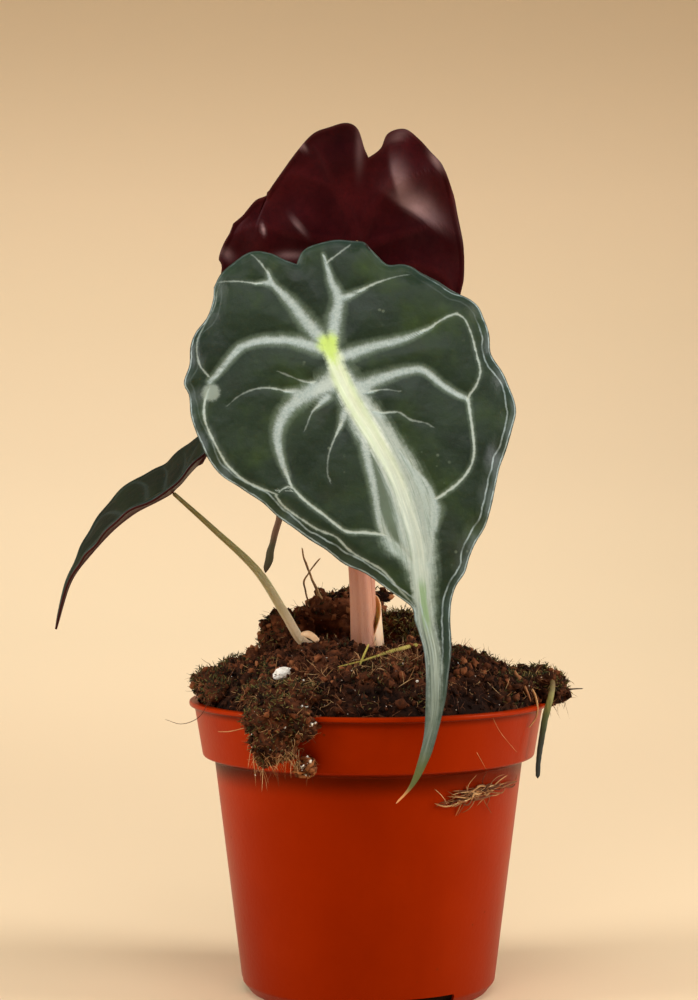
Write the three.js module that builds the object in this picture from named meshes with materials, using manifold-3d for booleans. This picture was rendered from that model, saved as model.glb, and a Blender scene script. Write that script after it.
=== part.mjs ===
import * as THREE from 'three';
import { mergeVertices } from 'three/addons/utils/BufferGeometryUtils.js';
import Module from 'manifold-3d';

// A small aroid with three arrow-shaped leaves in a round nursery pot.
// Millimetres, +Z up. The origin is the middle of the pot's base, and the front is -Y.

const wasm = await Module();
wasm.setup();

const gap = 0.3;

const pot = {
  height: 69,
  baseRadius: 28.1,
  footRadius: 30.1,
  footHeight: 2.5,
  shoulderRadius: 36.6,
  shoulderHeight: 55,
  collarBottomRadius: 39.4,
  collarBottomHeight: 56,
  collarTopRadius: 41.4,
  beadRadius: 42.5,
  beadHeight: 1,
  wall: 0.9,
  floor: 1.2,
};

const notch = { count: 3, width: 15, height: 3.5, depth: 7, firstTurn: 25.8 };

// The root ball's domed top, with slow ripples on it.
const mound = {
  edge: 68.5,
  rise: 13.5,
  fullness: 3,
  roundness: 0.75,
  ripple: 0.5,
  rippleLengths: [4, 5],
  rings: [38.8, 36.5, 33, 28, 22, 15, 8, 0],
};

const corm = { axis: [-0.8, 1.2], top: 79.5, topRadius: 5.4, middle: 71, middleRadius: 6.6, bottom: 62 };

const roots = { count: 6, start: 68, reach: 19, end: 24, stagger: 3, twist: 0.5, thick: 1, thin: 0.45 };

// Stalks run from the corm's top to the underside of their leaf.
const frontStalk = {
  points: [[-1.4, -1.2, 79.8], [-2.4, -2, 100], [-5, -3.4, 122], [-8.6, -8.6, 142], [-10, -14.6, 150.6],
    [-10.2, -20.9, 153.4]],
  radii: [2.7, 2.3, 2, 1.7, 1.5, 1.3],
};
const backStalk = {
  points: [[-0.4, 3.9, 79.8], [-0.8, 3.4, 100], [-1.6, 4.6, 125], [-2.4, 9, 152], [-2.7, 18.8, 179.6]],
  radii: [2.3, 2.1, 1.8, 1.5, 1.2],
};
const leftStalk = {
  points: [[-5.4, -2.4, 79.8], [-13.4, -5, 83.6], [-18.4, -5, 90], [-26.4, -5, 99.8], [-36.4, -5, 109.3],
    [-46.1, -5, 118]],
  radii: [1.2, 1.3, 1.4, 1.15, 0.85, 0.6],
};

const sheath = {
  axis: [-0.4, 3.9],
  bottom: 79.8,
  height: 14,
  bottomRadius: 3.9,
  topRadius: 2.9,
  wall: 0.6,
  from: -42,
  to: 110,
  peak: 30,
  slant: 0.3,
};

// Leaf outlines are (across, down) from the point where the stalk joins the blade.
const frontLeaf = {
  joint: [-10.2, -22, 152.9],
  sinus: [-6.5, -18.3],
  tip: [15.8, 102],
  leftLobe: [[-9.5, -19.2], [-15.5, -21.6], [-21.5, -18.8], [-25.7, -13]],
  rightLobe: [[-3.2, -22.6], [4.6, -24.2], [12.3, -20.1], [20.5, -17.8], [29.2, -12]],
  leftMargin: [[-27, -6.3], [-30.8, 1], [-31, 12], [-26.4, 26.5], [-14, 36.5], [0.7, 47.3], [14.1, 55.8],
    [20.1, 62.6], [22.5, 77.6], [20.9, 91.8]],
  rightMargin: [[35.4, -8.7], [38, 2], [43.6, 15.8], [39.7, 28.4], [36.3, 41.5], [30.8, 53.7], [28.1, 63.3],
    [27.7, 73.4], [24.9, 86.3], [19.8, 97.2]],
  midrib: [[0.8, 0.6], [7.8, 15.8], [15.9, 32], [20.9, 49], [24.1, 66], [24.9, 78.4], [22.1, 91]],
  lean: -0.3,
  arch: 0.0004,
  curl: 2.5,
};
const backLeaf = {
  joint: [-2.7, 20, 181.2],
  sinus: [2.8, -18.3],
  tip: [-23.4, 84],
  leftLobe: [[1.8, -21], [-2.5, -26.4], [-10.5, -24], [-18, -15.5], [-25, -8.3], [-30.5, -3]],
  rightLobe: [[5.7, -20.5], [10.5, -25], [17, -21.2], [22, -14], [24.3, -5]],
  leftMargin: [[-34.2, 4.5], [-35, 16], [-31.5, 32], [-26, 47], [-22.8, 59], [-21.3, 70]],
  rightMargin: [[26.3, 4], [26, 13], [21, 26], [9.5, 40], [-5, 51], [-16, 60], [-19.2, 70]],
  midrib: [[0, 0], [-3.5, 20], [-10, 40], [-16.5, 56], [-20.2, 70]],
  lean: 0.3,
  arch: 0,
  curl: 3,
};
const leftLeaf = {
  sinus: [0, -10],
  tip: [0, 43],
  lobe: [[4, -14.5], [9.5, -15.5], [14, -10.5]],
  margin: [[17.3, -2], [17.2, 7], [14, 16], [8.5, 23.5], [3.6, 30], [1.7, 36.5]],
  midrib: [[0, 0], [0, 21.5]],
  // The blade's keel, seen from the front as it arches down to the left.
  keel: [[-33.9, -5, 132.8], [-40.4, -5, 125], [-46.4, -5, 118.8], [-56.4, -5, 113.2], [-64.4, -5, 105.8],
    [-70.4, -5, 97.8], [-74.2, -5, 86]],
  keelStart: -19,
  tilt: 0.225,
  fold: 0.315,
};
const blade = { thickness: 0.8, rows: 22, columns: 12, tipWidth: 0.5 };

// Loose lumps on the root ball: middle, half-axes, and the phase of their bumps.
const bumps = { wide: 0.09, fine: 0.05 };
const rearClod = { middle: [-7, 17, 83.5], halves: [11, 8, 10.5], phase: 0.4 };
const leftClod = { middle: [-19.5, 5.5, 81], halves: [6.2, 5, 8.5], phase: 1.7 };
const mossCushion = { middle: [8.4, 10, 83.8], halves: [5.8, 5, 5.8], phase: 2.9 };
const leftMoss = { middle: [-36.5, -6, 74.5], halves: [5, 7, 3.5], phase: 4.2 };
const frontClump = { middle: [-20, -38.5, 67], halves: [9.5, 7.5, 9], phase: 5.5 };
const rightClump = { middle: [40, -5, 73], halves: [7, 7.5, 4.4], phase: 0.9 };
const perliteGrains = [
  { at: [-19.9, -24], halves: [1.9, 1.5, 1.2], phase: 2 },
  { at: [12.5, -27], halves: [1.1, 1, 0.9], phase: 3 },
];
const rootTuft = { middle: [25, -27.5, 52.4], halves: [9, 6, 3], phase: 1.2, thickness: 1.4 };

const deadStrand = {
  points: [[39, -7.5, 77.4], [41.4, -12, 75.4], [42.6, -14.8, 70.5], [41.8, -15.4, 63], [40.3, -15.6, 57],
    [39.4, -15.6, 51.2]],
  radii: [0.4, 0.6, 0.6, 0.6, 0.5, 0.4],
};
const straw = {
  route: [[-7.5, -24.6], [-1, -22.6], [5, -17], [9.5, -9.5]],
  radii: [0.35, 0.4, 0.4, 0.35],
};
const twigs = [
  { points: [[-10.6, 13.4, 90.5], [-14.2, 12, 97.6], [-16.4, 11, 104.4]], radii: [0.4, 0.35, 0.25] },
  { points: [[-13.4, 14.6, 88], [-15.6, 13.6, 95.5], [-12.4, 12.6, 101.6]], radii: [0.35, 0.3, 0.22] },
];

const finishes = {
  terracotta: { color: 0xb8441a, roughness: 0.42 },
  peat: { color: 0x2b1a10, roughness: 0.95 },
  moss: { color: 0x5a6a25, roughness: 0.9 },
  leaf: { color: 0x2f4234, roughness: 0.4 },
  leafUnderside: { color: 0x3a1218, roughness: 0.3 },
  pinkStalk: { color: 0xc78468, roughness: 0.45 },
  oliveStalk: { color: 0xb8a468, roughness: 0.5 },
  paleSheath: { color: 0xe0bd94, roughness: 0.5 },
  straw: { color: 0xb9985a, roughness: 0.8 },
  perlite: { color: 0xeee8da, roughness: 0.8 },
  corm: { color: 0xb08f68, roughness: 0.8 },
};

const plant = new THREE.Group();

function addPiece(name, finish, geometry) {
  const material = new THREE.MeshStandardMaterial({ metalness: 0, ...finishes[finish] });
  const piece = new THREE.Mesh(geometry, material);
  piece.name = name;
  plant.add(piece);
}

function toSolid(geometry) {
  const bare = geometry.clone();
  bare.deleteAttribute('normal');
  bare.deleteAttribute('uv');
  const merged = mergeVertices(bare, 1e-4);
  const index = merged.index.array;
  const corners = [];
  for (let i = 0; i < index.length; i += 3) {
    const [a, b, c] = [index[i], index[i + 1], index[i + 2]];
    if (a !== b && b !== c && c !== a) corners.push(a, b, c);
  }
  const mesh = new wasm.Mesh({
    numProp: 3,
    vertProperties: new Float32Array(merged.attributes.position.array),
    triVerts: new Uint32Array(corners),
  });
  return new wasm.Manifold(mesh);
}

function toGeometry(solid) {
  const mesh = solid.getMesh();
  const geometry = new THREE.BufferGeometry();
  geometry.setAttribute('position', new THREE.BufferAttribute(mesh.vertProperties, 3));
  geometry.setIndex(new THREE.BufferAttribute(mesh.triVerts, 1));
  geometry.computeVertexNormals();
  return geometry;
}

function cutAway(geometry, ...cutters) {
  let solid = toSolid(geometry);
  for (const cutter of cutters) solid = solid.subtract(toSolid(cutter));
  return toGeometry(solid);
}

// A profile of [radius, height] points turned about the Z axis.
function turned(profile, segments = 48) {
  const points = profile.map(([radius, height]) => new THREE.Vector2(radius, height));
  return new THREE.LatheGeometry(points, segments).rotateX(Math.PI / 2);
}

function smoothCurve(points) {
  return new THREE.CatmullRomCurve3(points.map(([x, y, z = 0]) => new THREE.Vector3(x, y, z)));
}

function valueAlong(values, share) {
  const place = share * (values.length - 1);
  const before = Math.min(Math.floor(place), values.length - 2);
  return THREE.MathUtils.lerp(values[before], values[before + 1], place - before);
}

// A round stalk along a curve. A cylinder is bent onto the curve and given its radius at each step.
function stalk({ points, radii }, extra = 0, sides = 10, steps = 20) {
  const curve = smoothCurve(points);
  const frames = curve.computeFrenetFrames(steps);
  const geometry = new THREE.CylinderGeometry(1, 1, 1, sides, steps);
  const position = geometry.attributes.position;
  for (let i = 0; i < position.count; i += 1) {
    const step = Math.round((position.getY(i) + 0.5) * steps);
    const radius = valueAlong(radii, step / steps) + extra;
    const place = curve.getPointAt(step / steps);
    place.addScaledVector(frames.binormals[step], position.getX(i) * radius);
    place.addScaledVector(frames.normals[step], position.getZ(i) * radius);
    if (step === 0) place.addScaledVector(frames.tangents[step], -extra);
    if (step === steps) place.addScaledVector(frames.tangents[step], extra);
    position.setXYZ(i, place.x, place.y, place.z);
  }
  return geometry;
}

// A rounded lump with a few bumps on it.
function lump({ middle, halves, phase }, extra = 0, detail = 2) {
  const geometry = new THREE.IcosahedronGeometry(1, detail);
  const position = geometry.attributes.position;
  const direction = new THREE.Vector3();
  for (let i = 0; i < position.count; i += 1) {
    direction.fromBufferAttribute(position, i).normalize();
    const wide = Math.sin(4 * direction.x + phase) * Math.cos(3 * direction.y - phase);
    const fine = Math.sin(6 * direction.z + 2 * phase);
    const size = 1 + bumps.wide * wide + bumps.fine * fine;
    direction.multiply(new THREE.Vector3(...halves).multiplyScalar(size).addScalar(extra));
    position.setXYZ(i, middle[0] + direction.x, middle[1] + direction.y, middle[2] + direction.z);
  }
  return geometry;
}

// Height of the root ball's surface.
function moundHeight(x, y) {
  const share = Math.min(Math.hypot(x, y) / (pot.collarTopRadius - pot.wall - gap), 1);
  const dome = (1 - share ** mound.fullness) ** mound.roundness;
  const wave = Math.sin(x / mound.rippleLengths[0]) * Math.cos(y / mound.rippleLengths[1]);
  return mound.edge + mound.rise * dome + mound.ripple * wave * (1 - share);
}

function layOnMound({ route, radii }) {
  const lift = gap + radii[1];
  return { points: route.map(([x, y]) => [x, y, moundHeight(x, y) + lift]), radii };
}

function potOutline(extra = 0) {
  return [
    [0, -extra],
    [pot.baseRadius + extra, -extra],
    [pot.footRadius + extra, pot.footHeight],
    [pot.shoulderRadius + extra, pot.shoulderHeight - extra],
    [pot.collarBottomRadius + extra, pot.collarBottomHeight - extra],
    [pot.collarTopRadius + extra, pot.height - pot.beadHeight - extra],
    [pot.beadRadius + extra, pot.height - pot.beadHeight - extra],
    [pot.beadRadius + extra, pot.height + extra],
  ];
}

function potGeometry() {
  const inside = [
    [pot.collarTopRadius - pot.wall, pot.height],
    [pot.collarBottomRadius - pot.wall, pot.collarBottomHeight + pot.wall / 2],
    [pot.shoulderRadius - pot.wall, pot.shoulderHeight],
    [pot.footRadius - pot.wall, pot.footHeight],
    [pot.footRadius - 2 * pot.wall, pot.floor],
    [0, pot.floor],
  ];
  const notches = [];
  for (let i = 0; i < notch.count; i += 1) {
    const cutter = new THREE.BoxGeometry(notch.width, notch.depth, 2 * notch.height);
    cutter.translate(0, -pot.footRadius, 0);
    cutter.rotateZ(THREE.MathUtils.degToRad(notch.firstTurn + (i * 360) / notch.count));
    notches.push(cutter);
  }
  return cutAway(turned([...potOutline(), ...inside], 60), ...notches);
}

// Everything inside the pot and its wall, up to the top of the rim.
function filledPot(extra) {
  return turned([...potOutline(extra), [0, pot.height + extra]], 60);
}

function soilGeometry(extra = 0) {
  const room = pot.wall + gap - extra;
  const profile = [
    [0, pot.floor + gap - extra],
    [pot.footRadius - 2 * pot.wall - gap, pot.floor + gap - extra],
    [pot.footRadius - room, pot.footHeight],
    [pot.shoulderRadius - room, pot.shoulderHeight],
    [pot.collarBottomRadius - room, pot.collarBottomHeight + pot.wall],
    [pot.collarTopRadius - room, mound.edge + extra],
    ...mound.rings.map((radius) => [radius, pot.height + mound.rise]),
  ];
  const geometry = turned(profile, 40);
  const position = geometry.attributes.position;
  for (let i = 0; i < position.count; i += 1) {
    if (position.getZ(i) > pot.height) {
      position.setZ(i, moundHeight(position.getX(i), position.getY(i)) + extra);
    }
  }
  return geometry;
}

function rootstockSolid(extra = 0) {
  const [axisX, axisY] = corm.axis;
  const body = turned([
    [0, corm.bottom - extra],
    [corm.topRadius / 2 + extra, corm.bottom + 1 - extra],
    [corm.middleRadius + extra, corm.middle],
    [corm.topRadius + extra, corm.top + extra],
    [0, corm.top + extra],
  ], 20);
  let solid = toSolid(body.translate(axisX, axisY, 0));
  for (let i = 0; i < roots.count; i += 1) {
    const turn = (i * 2 * Math.PI) / roots.count + 0.4 * Math.sin(3 * i);
    const end = roots.end + roots.stagger * i;
    const onRoot = (out, down) => [
      axisX + roots.reach * out * Math.cos(turn + roots.twist * out),
      axisY + roots.reach * out * Math.sin(turn + roots.twist * out),
      THREE.MathUtils.lerp(roots.start, end, down),
    ];
    const points = [onRoot(0.1, 0), onRoot(0.5, 0.1), onRoot(0.9, 0.5), onRoot(1, 1)];
    const root = stalk({ points, radii: [roots.thick, roots.thin] }, extra, 6, 8);
    solid = solid.add(toSolid(root));
  }
  return solid;
}

// A cone-shaped wall beside the stalks, cut to part of a turn, with one high point on its slanted rim.
function sheathSolid(extra = 0) {
  const { bottomRadius, topRadius, wall, height, axis, bottom, from, to, peak, slant } = sheath;
  const ring = turned([
    [bottomRadius - extra, -extra],
    [bottomRadius + wall + extra, -extra],
    [topRadius + wall + extra, height + extra],
    [topRadius - extra, height + extra],
    [bottomRadius - extra, -extra],
  ], 36);
  const position = ring.attributes.position;
  for (let i = 0; i < position.count; i += 1) {
    const turn = Math.atan2(position.getY(i), position.getX(i)) - THREE.MathUtils.degToRad(peak);
    const share = 1 - slant + slant * Math.cos(turn);
    if (position.getZ(i) > 0) position.setZ(i, position.getZ(i) * share);
  }
  const spread = extra / topRadius;
  const sector = new THREE.Shape();
  const start = THREE.MathUtils.degToRad(from) - spread;
  const end = THREE.MathUtils.degToRad(to) + spread;
  sector.absarc(0, 0, 3 * bottomRadius, start, end);
  sector.lineTo(0, 0);
  const wedge = new THREE.ExtrudeGeometry(sector, { depth: 2 * height, bevelEnabled: false });
  const cut = toSolid(ring).intersect(toSolid(wedge.translate(0, 0, -height / 2)));
  return cut.translate([axis[0], axis[1], bottom]);
}

// Place on a half blade that is bounded by its lobe, its margin, the midrib and a narrow tip.
// "out" runs from the midrib to the margin, and "along" from the sinus to the tip.
function onHalfBlade(half, out, along) {
  const inner = half.midrib.getPointAt(along);
  const outer = half.margin.getPointAt(along);
  const top = half.lobe.getPointAt(out);
  const bottom = half.tip.getPointAt(out);
  const place = inner.clone().lerp(outer, out);
  place.add(top.clone().lerp(bottom, along));
  const innerEnds = half.midrib.getPoint(0).lerp(half.midrib.getPoint(1), along);
  const outerEnds = half.margin.getPoint(0).lerp(half.margin.getPoint(1), along);
  return place.sub(innerEnds.lerp(outerEnds, out));
}

function halfBlade(leaf, lobe, margin, side) {
  const tipCorner = [leaf.tip[0] + (side * blade.tipWidth) / 2, leaf.tip[1]];
  const lobeCorner = lobe[lobe.length - 1];
  return {
    midrib: smoothCurve([leaf.sinus, ...leaf.midrib, leaf.tip]),
    margin: smoothCurve([lobeCorner, ...margin, tipCorner]),
    lobe: smoothCurve([leaf.sinus, ...lobe]),
    tip: new THREE.LineCurve3(new THREE.Vector3(...leaf.tip, 0), new THREE.Vector3(...tipCorner, 0)),
  };
}

// A thin closed sheet. A flat box is laid on the surface that place(share, along) gives, share being -1 to 1.
function thinSheet(place) {
  const geometry = new THREE.BoxGeometry(2, 1, 1, blade.columns, blade.rows, 1);
  const position = geometry.attributes.position;
  const step = 0.01;
  for (let i = 0; i < position.count; i += 1) {
    const share = position.getX(i);
    const along = 0.5 - position.getY(i);
    const across = place(Math.min(share + step, 1), along).sub(place(Math.max(share - step, -1), along));
    const down = place(share, Math.min(along + step, 1)).sub(place(share, Math.max(along - step, 0)));
    const normal = across.cross(down).normalize();
    const centre = place(share, along).addScaledVector(normal, -position.getZ(i) * blade.thickness);
    position.setXYZ(i, centre.x, centre.y, centre.z);
  }
  return geometry;
}

function bladeGeometry(leaf, left, right, lift) {
  const halves = {
    left: halfBlade(leaf, left.lobe, left.margin, -1),
    right: halfBlade(leaf, right.lobe, right.margin, 1),
  };
  return thinSheet((share, along) => {
    const out = Math.abs(share);
    const flat = onHalfBlade(share < 0 ? halves.left : halves.right, out, along);
    return lift(flat.x, flat.y, out, along);
  });
}

// A blade that hangs from its joint and leans forward or back as it goes down.
function hangingLeaf(leaf) {
  const [x, y, z] = leaf.joint;
  const left = { lobe: leaf.leftLobe, margin: leaf.leftMargin };
  const right = { lobe: leaf.rightLobe, margin: leaf.rightMargin };
  return bladeGeometry(leaf, left, right, (across, down, out, along) => {
    const depth = y + leaf.lean * down + leaf.arch * down ** 2 + leaf.curl * out ** 2 * (1 - along);
    return new THREE.Vector3(x + across, depth, z - down);
  });
}

// A blade folded along an arching keel, seen edge-on from the front.
function archedLeaf(leaf) {
  const mirrored = (points) => points.map(([across, down]) => [-across, down]);
  const left = { lobe: mirrored(leaf.lobe), margin: mirrored(leaf.margin) };
  const keel = smoothCurve(leaf.keel);
  const keelLength = leaf.tip[1] - leaf.keelStart;
  return bladeGeometry(leaf, left, leaf, (across, down) => {
    const share = THREE.MathUtils.clamp((down - leaf.keelStart) / keelLength, 0, 1);
    const tangent = keel.getTangentAt(share);
    const rise = leaf.tilt * across + leaf.fold * Math.abs(across);
    return keel.getPointAt(share).add(new THREE.Vector3(tangent.z * rise, across, -tangent.x * rise));
  });
}

// A fibre tuft that hugs the pot's wall: a lump kept between the wall and a slightly wider pot.
function tuftGeometry() {
  const near = toSolid(filledPot(gap));
  const far = toSolid(filledPot(gap + rootTuft.thickness));
  return toGeometry(toSolid(lump(rootTuft)).intersect(far).subtract(near));
}

const stalkRooms = [frontStalk, backStalk, leftStalk].map((shape) => toSolid(stalk(shape, gap)));
const sheathRoom = sheathSolid(gap);
const potRoom = toSolid(filledPot(gap));
const soilRoom = toSolid(soilGeometry(gap));

// A loose lump is cut back by what it lies on and by what stands through it.
function addLump(name, finish, shape, ...rooms) {
  let solid = toSolid(lump(shape));
  for (const room of [potRoom, soilRoom, sheathRoom, ...stalkRooms, ...rooms]) solid = solid.subtract(room);
  addPiece(name, finish, toGeometry(solid));
}

function roomOfLump(shape) {
  return toSolid(lump(shape, gap));
}

function roomOfStalk(shape) {
  return toSolid(stalk(shape, gap, 8, 10));
}

addPiece('nursery_pot', 'terracotta', potGeometry());

let soil = toSolid(soilGeometry());
for (const room of [rootstockSolid(gap), sheathRoom, ...stalkRooms]) soil = soil.subtract(room);
addPiece('potting_soil', 'peat', toGeometry(soil));
addPiece('rootstock', 'corm', toGeometry(rootstockSolid()));

addPiece('front_leaf_stalk', 'pinkStalk', stalk(frontStalk));
addPiece('back_leaf_stalk', 'pinkStalk', stalk(backStalk));
addPiece('left_leaf_stalk', 'oliveStalk', stalk(leftStalk));
addPiece('stalk_sheath', 'paleSheath', toGeometry(sheathSolid()));

addPiece('front_leaf', 'leaf', hangingLeaf(frontLeaf));
addPiece('back_leaf', 'leafUnderside', hangingLeaf(backLeaf));
addPiece('left_leaf', 'leaf', archedLeaf(leftLeaf));

addLump('rear_peat_clod', 'peat', rearClod, ...twigs.map(roomOfStalk));
addLump('left_peat_clod', 'peat', leftClod, roomOfLump(rearClod));
addLump('moss_cushion', 'moss', mossCushion, roomOfLump(rearClod));
addLump('left_rim_moss', 'moss', leftMoss);
addLump('front_peat_clump', 'peat', frontClump);
addLump('right_peat_clump', 'peat', rightClump, roomOfStalk(deadStrand));
perliteGrains.forEach(({ at: [x, y], halves, phase }, i) => {
  const middle = [x, y, moundHeight(x, y) + halves[2] / 2];
  addLump(`perlite_grain_${i + 1}`, 'perlite', { middle, halves, phase });
});

addPiece('dead_leaf_strand', 'straw', stalk(deadStrand, 0, 8, 14));
addPiece('straw_on_soil', 'straw', stalk(layOnMound(straw), 0, 6, 12));
twigs.forEach((twig, i) => addPiece(`twig_${i + 1}`, 'straw', stalk(twig, 0, 6, 8)));
addPiece('root_fibre_tuft', 'straw', tuftGeometry());

export default plant;
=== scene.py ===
import math

import bmesh
import bpy
import numpy as np
from mathutils import Matrix, Vector, kdtree, noise


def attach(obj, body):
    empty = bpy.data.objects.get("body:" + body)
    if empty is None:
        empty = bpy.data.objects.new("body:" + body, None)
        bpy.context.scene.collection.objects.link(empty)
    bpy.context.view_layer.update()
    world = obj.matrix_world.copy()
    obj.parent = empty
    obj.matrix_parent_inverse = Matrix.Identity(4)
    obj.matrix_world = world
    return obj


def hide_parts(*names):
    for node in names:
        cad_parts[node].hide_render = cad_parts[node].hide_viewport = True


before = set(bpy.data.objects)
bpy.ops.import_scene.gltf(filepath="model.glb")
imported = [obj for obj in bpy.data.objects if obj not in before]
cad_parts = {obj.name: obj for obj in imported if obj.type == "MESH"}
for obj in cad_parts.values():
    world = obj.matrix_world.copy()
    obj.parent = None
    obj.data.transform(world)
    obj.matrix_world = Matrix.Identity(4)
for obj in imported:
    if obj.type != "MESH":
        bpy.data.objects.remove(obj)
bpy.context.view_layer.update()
scene = bpy.context.scene
luck = np.random.default_rng(41)
mm = 0.001
print("frame loaded")

# Camera and studio, in metres. Pixels are of the 698 x 1000 picture.
camera = {"imageHeight": 1000, "focalPixels": 2400, "horizonPixel": 453, "sensor": 36,
          "eye": (-0.00464, -0.571, 0.1275)}
studio = {"floorRadius": 0.42, "curve": 1.68, "wallTop": 3.2, "sky": (225, 232, 240), "skyStrength": 0.1,
          # the paper's colour by height, in metres: painted light and shade that stand in for the lamps'
          # falloff
          "paper": [(0, (230, 205, 167)), (0.03, (223, 200, 163)), (0.11, (224, 200, 163)),
                    (0.17, (228, 203, 165)),
                    (0.24, (235, 209, 169)), (0.34, (242, 214, 173)), (0.58, (234, 205, 162))]}
softboxes = {
    "left": {"at": (-0.6, -0.2, 0.31), "aim": (0, 0, 0.08), "size": (0.26, 0.46), "watts": 4.3},
    "right": {"at": (0.6, -0.14, 0.31), "aim": (0, 0, 0.08), "size": (0.26, 0.46), "watts": 4.8},
    "top": {"at": (0, -0.42, 0.8), "aim": (0, 0, 0.13), "size": (0.5, 0.5), "watts": 3.6},
    "backdrop": {"at": (-0.12, 0.56, 0.76), "aim": (-0.05, 1.2, 0.2), "size": (0.6, 0.3), "watts": 6.2},
}
lampTint = (0.97, 0.98, 1)


def setCamera():
    lens = bpy.data.cameras.new("photoCamera")
    lens.sensor_width = camera["sensor"]
    lens.lens = camera["focalPixels"] / camera["imageHeight"] * camera["sensor"]
    made = bpy.data.objects.new("photoCamera", lens)
    made.location = camera["eye"]
    drop = (camera["imageHeight"] / 2 - camera["horizonPixel"]) / camera["focalPixels"]
    made.rotation_euler = (math.pi / 2 - math.atan(drop), 0, 0)
    scene.collection.objects.link(made)
    scene.camera = made


def setLights():
    for name, box in softboxes.items():
        lamp = bpy.data.lights.new(name + "Softbox", "AREA")
        lamp.shape = "RECTANGLE"
        lamp.size, lamp.size_y = box["size"]
        lamp.energy = box["watts"]
        lamp.color = lampTint
        made = bpy.data.objects.new(name + "Softbox", lamp)
        made.location = box["at"]
        aim = Vector(box["aim"]) - Vector(box["at"])
        made.rotation_euler = aim.to_track_quat("-Z", "Y").to_euler()
        made.visible_camera = False
        scene.collection.objects.link(made)
    world = bpy.data.worlds.new("studioAir")
    world.use_nodes = True
    air = world.node_tree.nodes["Background"]
    air.inputs["Color"].default_value = seen(*studio["sky"])
    air.inputs["Strength"].default_value = studio["skyStrength"]
    scene.world = world
    scene.view_settings.view_transform = "Standard"


def seen(red, green, blue):
    # a colour as a picture shows it, 0 to 255, turned into the linear colour that shaders take
    def straight(level):
        level = level / 255
        return level / 12.92 if level < 0.04045 else ((level + 0.055) / 1.055) ** 2.4
    return (straight(red), straight(green), straight(blue), 1)


class Value:
    # one number or colour of a material, taken from a socket; sums on it add Math nodes
    def __init__(self, paint, socket):
        self.paint = paint
        self.socket = socket

    def math(self, operation, *others):
        return self.paint.node("Math", {"operation": operation}, dict(enumerate((self, *others))))

    def __add__(self, other):
        return self.math("ADD", other)

    def __sub__(self, other):
        return self.math("SUBTRACT", other)

    def __mul__(self, other):
        return self.math("MULTIPLY", other)

    def __truediv__(self, other):
        return self.math("DIVIDE", other)

    def __rsub__(self, other):
        return self.paint.node("Math", {"operation": "SUBTRACT"}, {0: other, 1: self})

    def __abs__(self):
        return self.math("ABSOLUTE")

    __radd__ = __add__
    __rmul__ = __mul__

    def upTo(self, other):
        return self.math("MINIMUM", other)

    def atLeast(self, other):
        return self.math("MAXIMUM", other)

    def rise(self, low, high, bottom=0, top=1):
        # bottom below low, top above high, and a smooth step between
        ends = {"Value": self, "From Min": low, "From Max": high, "To Min": bottom, "To Max": top}
        return self.paint.node("MapRange", {"interpolation_type": "SMOOTHSTEP"}, ends)


def tone(colour):
    return seen(*colour) if isinstance(colour, tuple) else colour


class Paint:
    # a node material; its colours are Values, or red, green and blue as a picture shows them
    def __init__(self, name):
        self.material = bpy.data.materials.new(name)
        self.material.use_nodes = True
        self.tree = self.material.node_tree
        self.tree.nodes.clear()

    def node(self, kind, settings=None, sockets=None, out=0):
        made = self.tree.nodes.new("ShaderNode" + kind)
        for key, value in (settings or {}).items():
            if key == "stops":
                ramp = made.color_ramp
                while len(ramp.elements) < len(value):
                    ramp.elements.new(0.5)
                for stop, (place, colour) in zip(ramp.elements, value):
                    stop.position = place
                    stop.color = tone(colour)
            else:
                setattr(made, key, value)
        for key, value in (sockets or {}).items():
            if isinstance(value, Value):
                self.tree.links.new(value.socket, made.inputs[key])
            else:
                made.inputs[key].default_value = value
        return Value(self, made.outputs[out]) if made.outputs else None

    def field(self, name):
        return self.node("Attribute", {"attribute_name": name}, out="Fac")

    def place(self, stretch=(1, 1, 1)):
        spot = self.node("TexCoord", out="Object")
        return self.node("Mapping", None, {"Vector": spot, "Scale": stretch})

    def height(self, place):
        return self.node("SeparateXYZ", None, {0: place}, out=2)

    def join(self, x, y):
        return self.node("CombineXYZ", None, {0: x, 1: y})

    def noise(self, at, scale, detail=3, rough=0.55):
        kind = {"Vector": at, "Scale": scale, "Detail": detail, "Roughness": rough}
        return self.node("TexNoise", None, kind)

    def cells(self, at, scale, feature="F1"):
        return self.node("TexVoronoi", {"feature": feature}, {"Vector": at, "Scale": scale})

    def ramp(self, value, *stops):
        return self.node("ValToRGB", {"stops": stops}, {"Fac": value})

    def mix(self, share, first, second):
        return self.node("Mix", {"data_type": "RGBA"}, {0: share, 6: tone(first), 7: tone(second)}, out=2)

    def coats(self, colour, *coats):
        # one colour after another, each laid over the last where its share says
        for share, coat in coats:
            colour = self.mix(share, colour, coat)
        return colour

    def bump(self, height, depth):
        return self.node("Bump", None, {"Height": height, "Distance": depth, "Strength": 1})

    def surface(self, **sockets):
        named = {key.replace("_", " "): value for key, value in sockets.items()}
        shader = self.node("BsdfPrincipled", None, named)
        self.node("OutputMaterial", None, {"Surface": shader})
        return self.material


def smoothed(points, steps=10):
    # closely spaced places on a curve through the points
    given = np.array(points, float)
    given = np.vstack([2 * given[0] - given[1], given, 2 * given[-1] - given[-2]])
    t = np.linspace(0, 1, steps, endpoint=False)[:, None]
    runs = []
    for a, b, c, d in zip(given, given[1:], given[2:], given[3:]):
        runs.append(b + t * (c - a) / 2 + t ** 2 * (a - 2.5 * b + 2 * c - d / 2)
                    + t ** 3 * (1.5 * b - a / 2 - 1.5 * c + d / 2))
    return np.vstack([*runs, given[-2]])


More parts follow.
